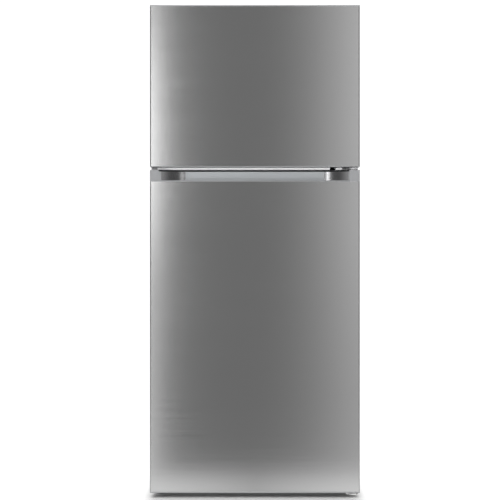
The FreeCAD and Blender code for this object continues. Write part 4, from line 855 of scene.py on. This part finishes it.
def floor_card():
    """The lit floor before the doors as they reflect it, brighter to each side and near the doors."""
    g = light_graph("floor_card_light")
    axes = g.object_axes()
    near_y = DOOR_FRONT_Y - 0.01
    far_y = DOOR_FRONT_Y - FLOOR_CARD_DEPTH
    across = g.math("ABSOLUTE", axes["X"], 0.0)
    sideways = g.spread(across, *FLOOR_CARD_LEVELS, 0.0, FLOOR_CARD_REACH)
    near = g.smooth(axes["Y"], 0.78, 1.0, far_y, DOOR_FRONT_Y - 0.2)
    g.link(g.math("MULTIPLY", sideways, near), g.shader.inputs["Emission Strength"])
    half = FLOOR_CARD_HALF_WIDTH
    corners = [(-half, far_y, 0.001), (half, far_y, 0.001), (half, near_y, 0.001), (-half, near_y, 0.001)]
    only_reflected(stage_plane("floor_card", corners, g.material))


def strip_panel(name, inner_x, outer_x, feather, level, middle_z, full_reach, end_reach, end_share):
    """A tall light panel that rises from the room's level along its inner edge and dims up and down."""
    g = light_graph(name + "_light")
    axes = g.object_axes()
    outward = math.copysign(feather, outer_x - inner_x)
    across = g.smooth(axes["X"], 0.0, 1.0, inner_x, inner_x + outward)
    from_middle = g.math("SUBTRACT", axes["Z"], middle_z)
    height = g.math("ABSOLUTE", from_middle, 0.0)
    upward = g.smooth(height, 1.0, end_share, full_reach, end_reach)
    lit = g.math("MULTIPLY", g.math("MULTIPLY", across, upward), level)
    room = g.math("MULTIPLY", g.math("SUBTRACT", 1.0, across), ROOM_FRONT)
    g.link(g.math("ADD", lit, room), g.shader.inputs["Emission Strength"])
    low, high = sorted((inner_x, outer_x))
    bottom, top = PANEL_Z
    sides = ((low, bottom), (high, bottom), (high, top), (low, top))
    only_reflected(stage_plane(name, [(x, PANEL_Y, z) for x, z in sides], g.material))


def camera():
    """Long lens, level with the middle of the doors."""
    data = bpy.data.cameras.new("camera")
    data.sensor_width = SENSOR
    data.lens = SENSOR * CAMERA_DISTANCE / FRAME_WIDTH
    data.clip_end = 100.0
    seat = bpy.data.objects.new("camera", data)
    scene.collection.objects.link(seat)
    seat.location = (CAMERA_X, DOOR_FRONT_Y - CAMERA_DISTANCE, CAMERA_Z)
    seat.rotation_euler = (math.pi / 2, 0.0, 0.0)
    scene.camera = seat


world_light()
softbox(
    "left_softbox", place=(-1.9, -3.2, 1.2), target=(-0.2, DOOR_FRONT_Y, 0.9),
    width=2.0, height=2.6, power=76.0,
)
softbox(
    "right_softbox", place=(2.1, -3.2, 1.2), target=(0.2, DOOR_FRONT_Y, 0.9),
    width=2.0, height=2.6, power=58.0,
)
softbox("top_softbox", place=(0.0, -0.4, 4.2), target=(0.0, 0.0, 0.0), width=4.5, height=4.5, power=230.0)
floor()
floor_card()
strip_panel(
    "left_panel", inner_x=-0.472, outer_x=-0.80, feather=0.17, level=3.9,
    middle_z=1.42, full_reach=0.1, end_reach=0.85, end_share=0.40,
)
strip_panel(
    "right_panel", inner_x=0.09, outer_x=0.82, feather=0.95, level=1.20,
    middle_z=2.2, full_reach=0.9, end_reach=2.2, end_share=0.72,
)
camera()
scene.view_settings.view_transform = "Standard"
scene.view_settings.look = "None"
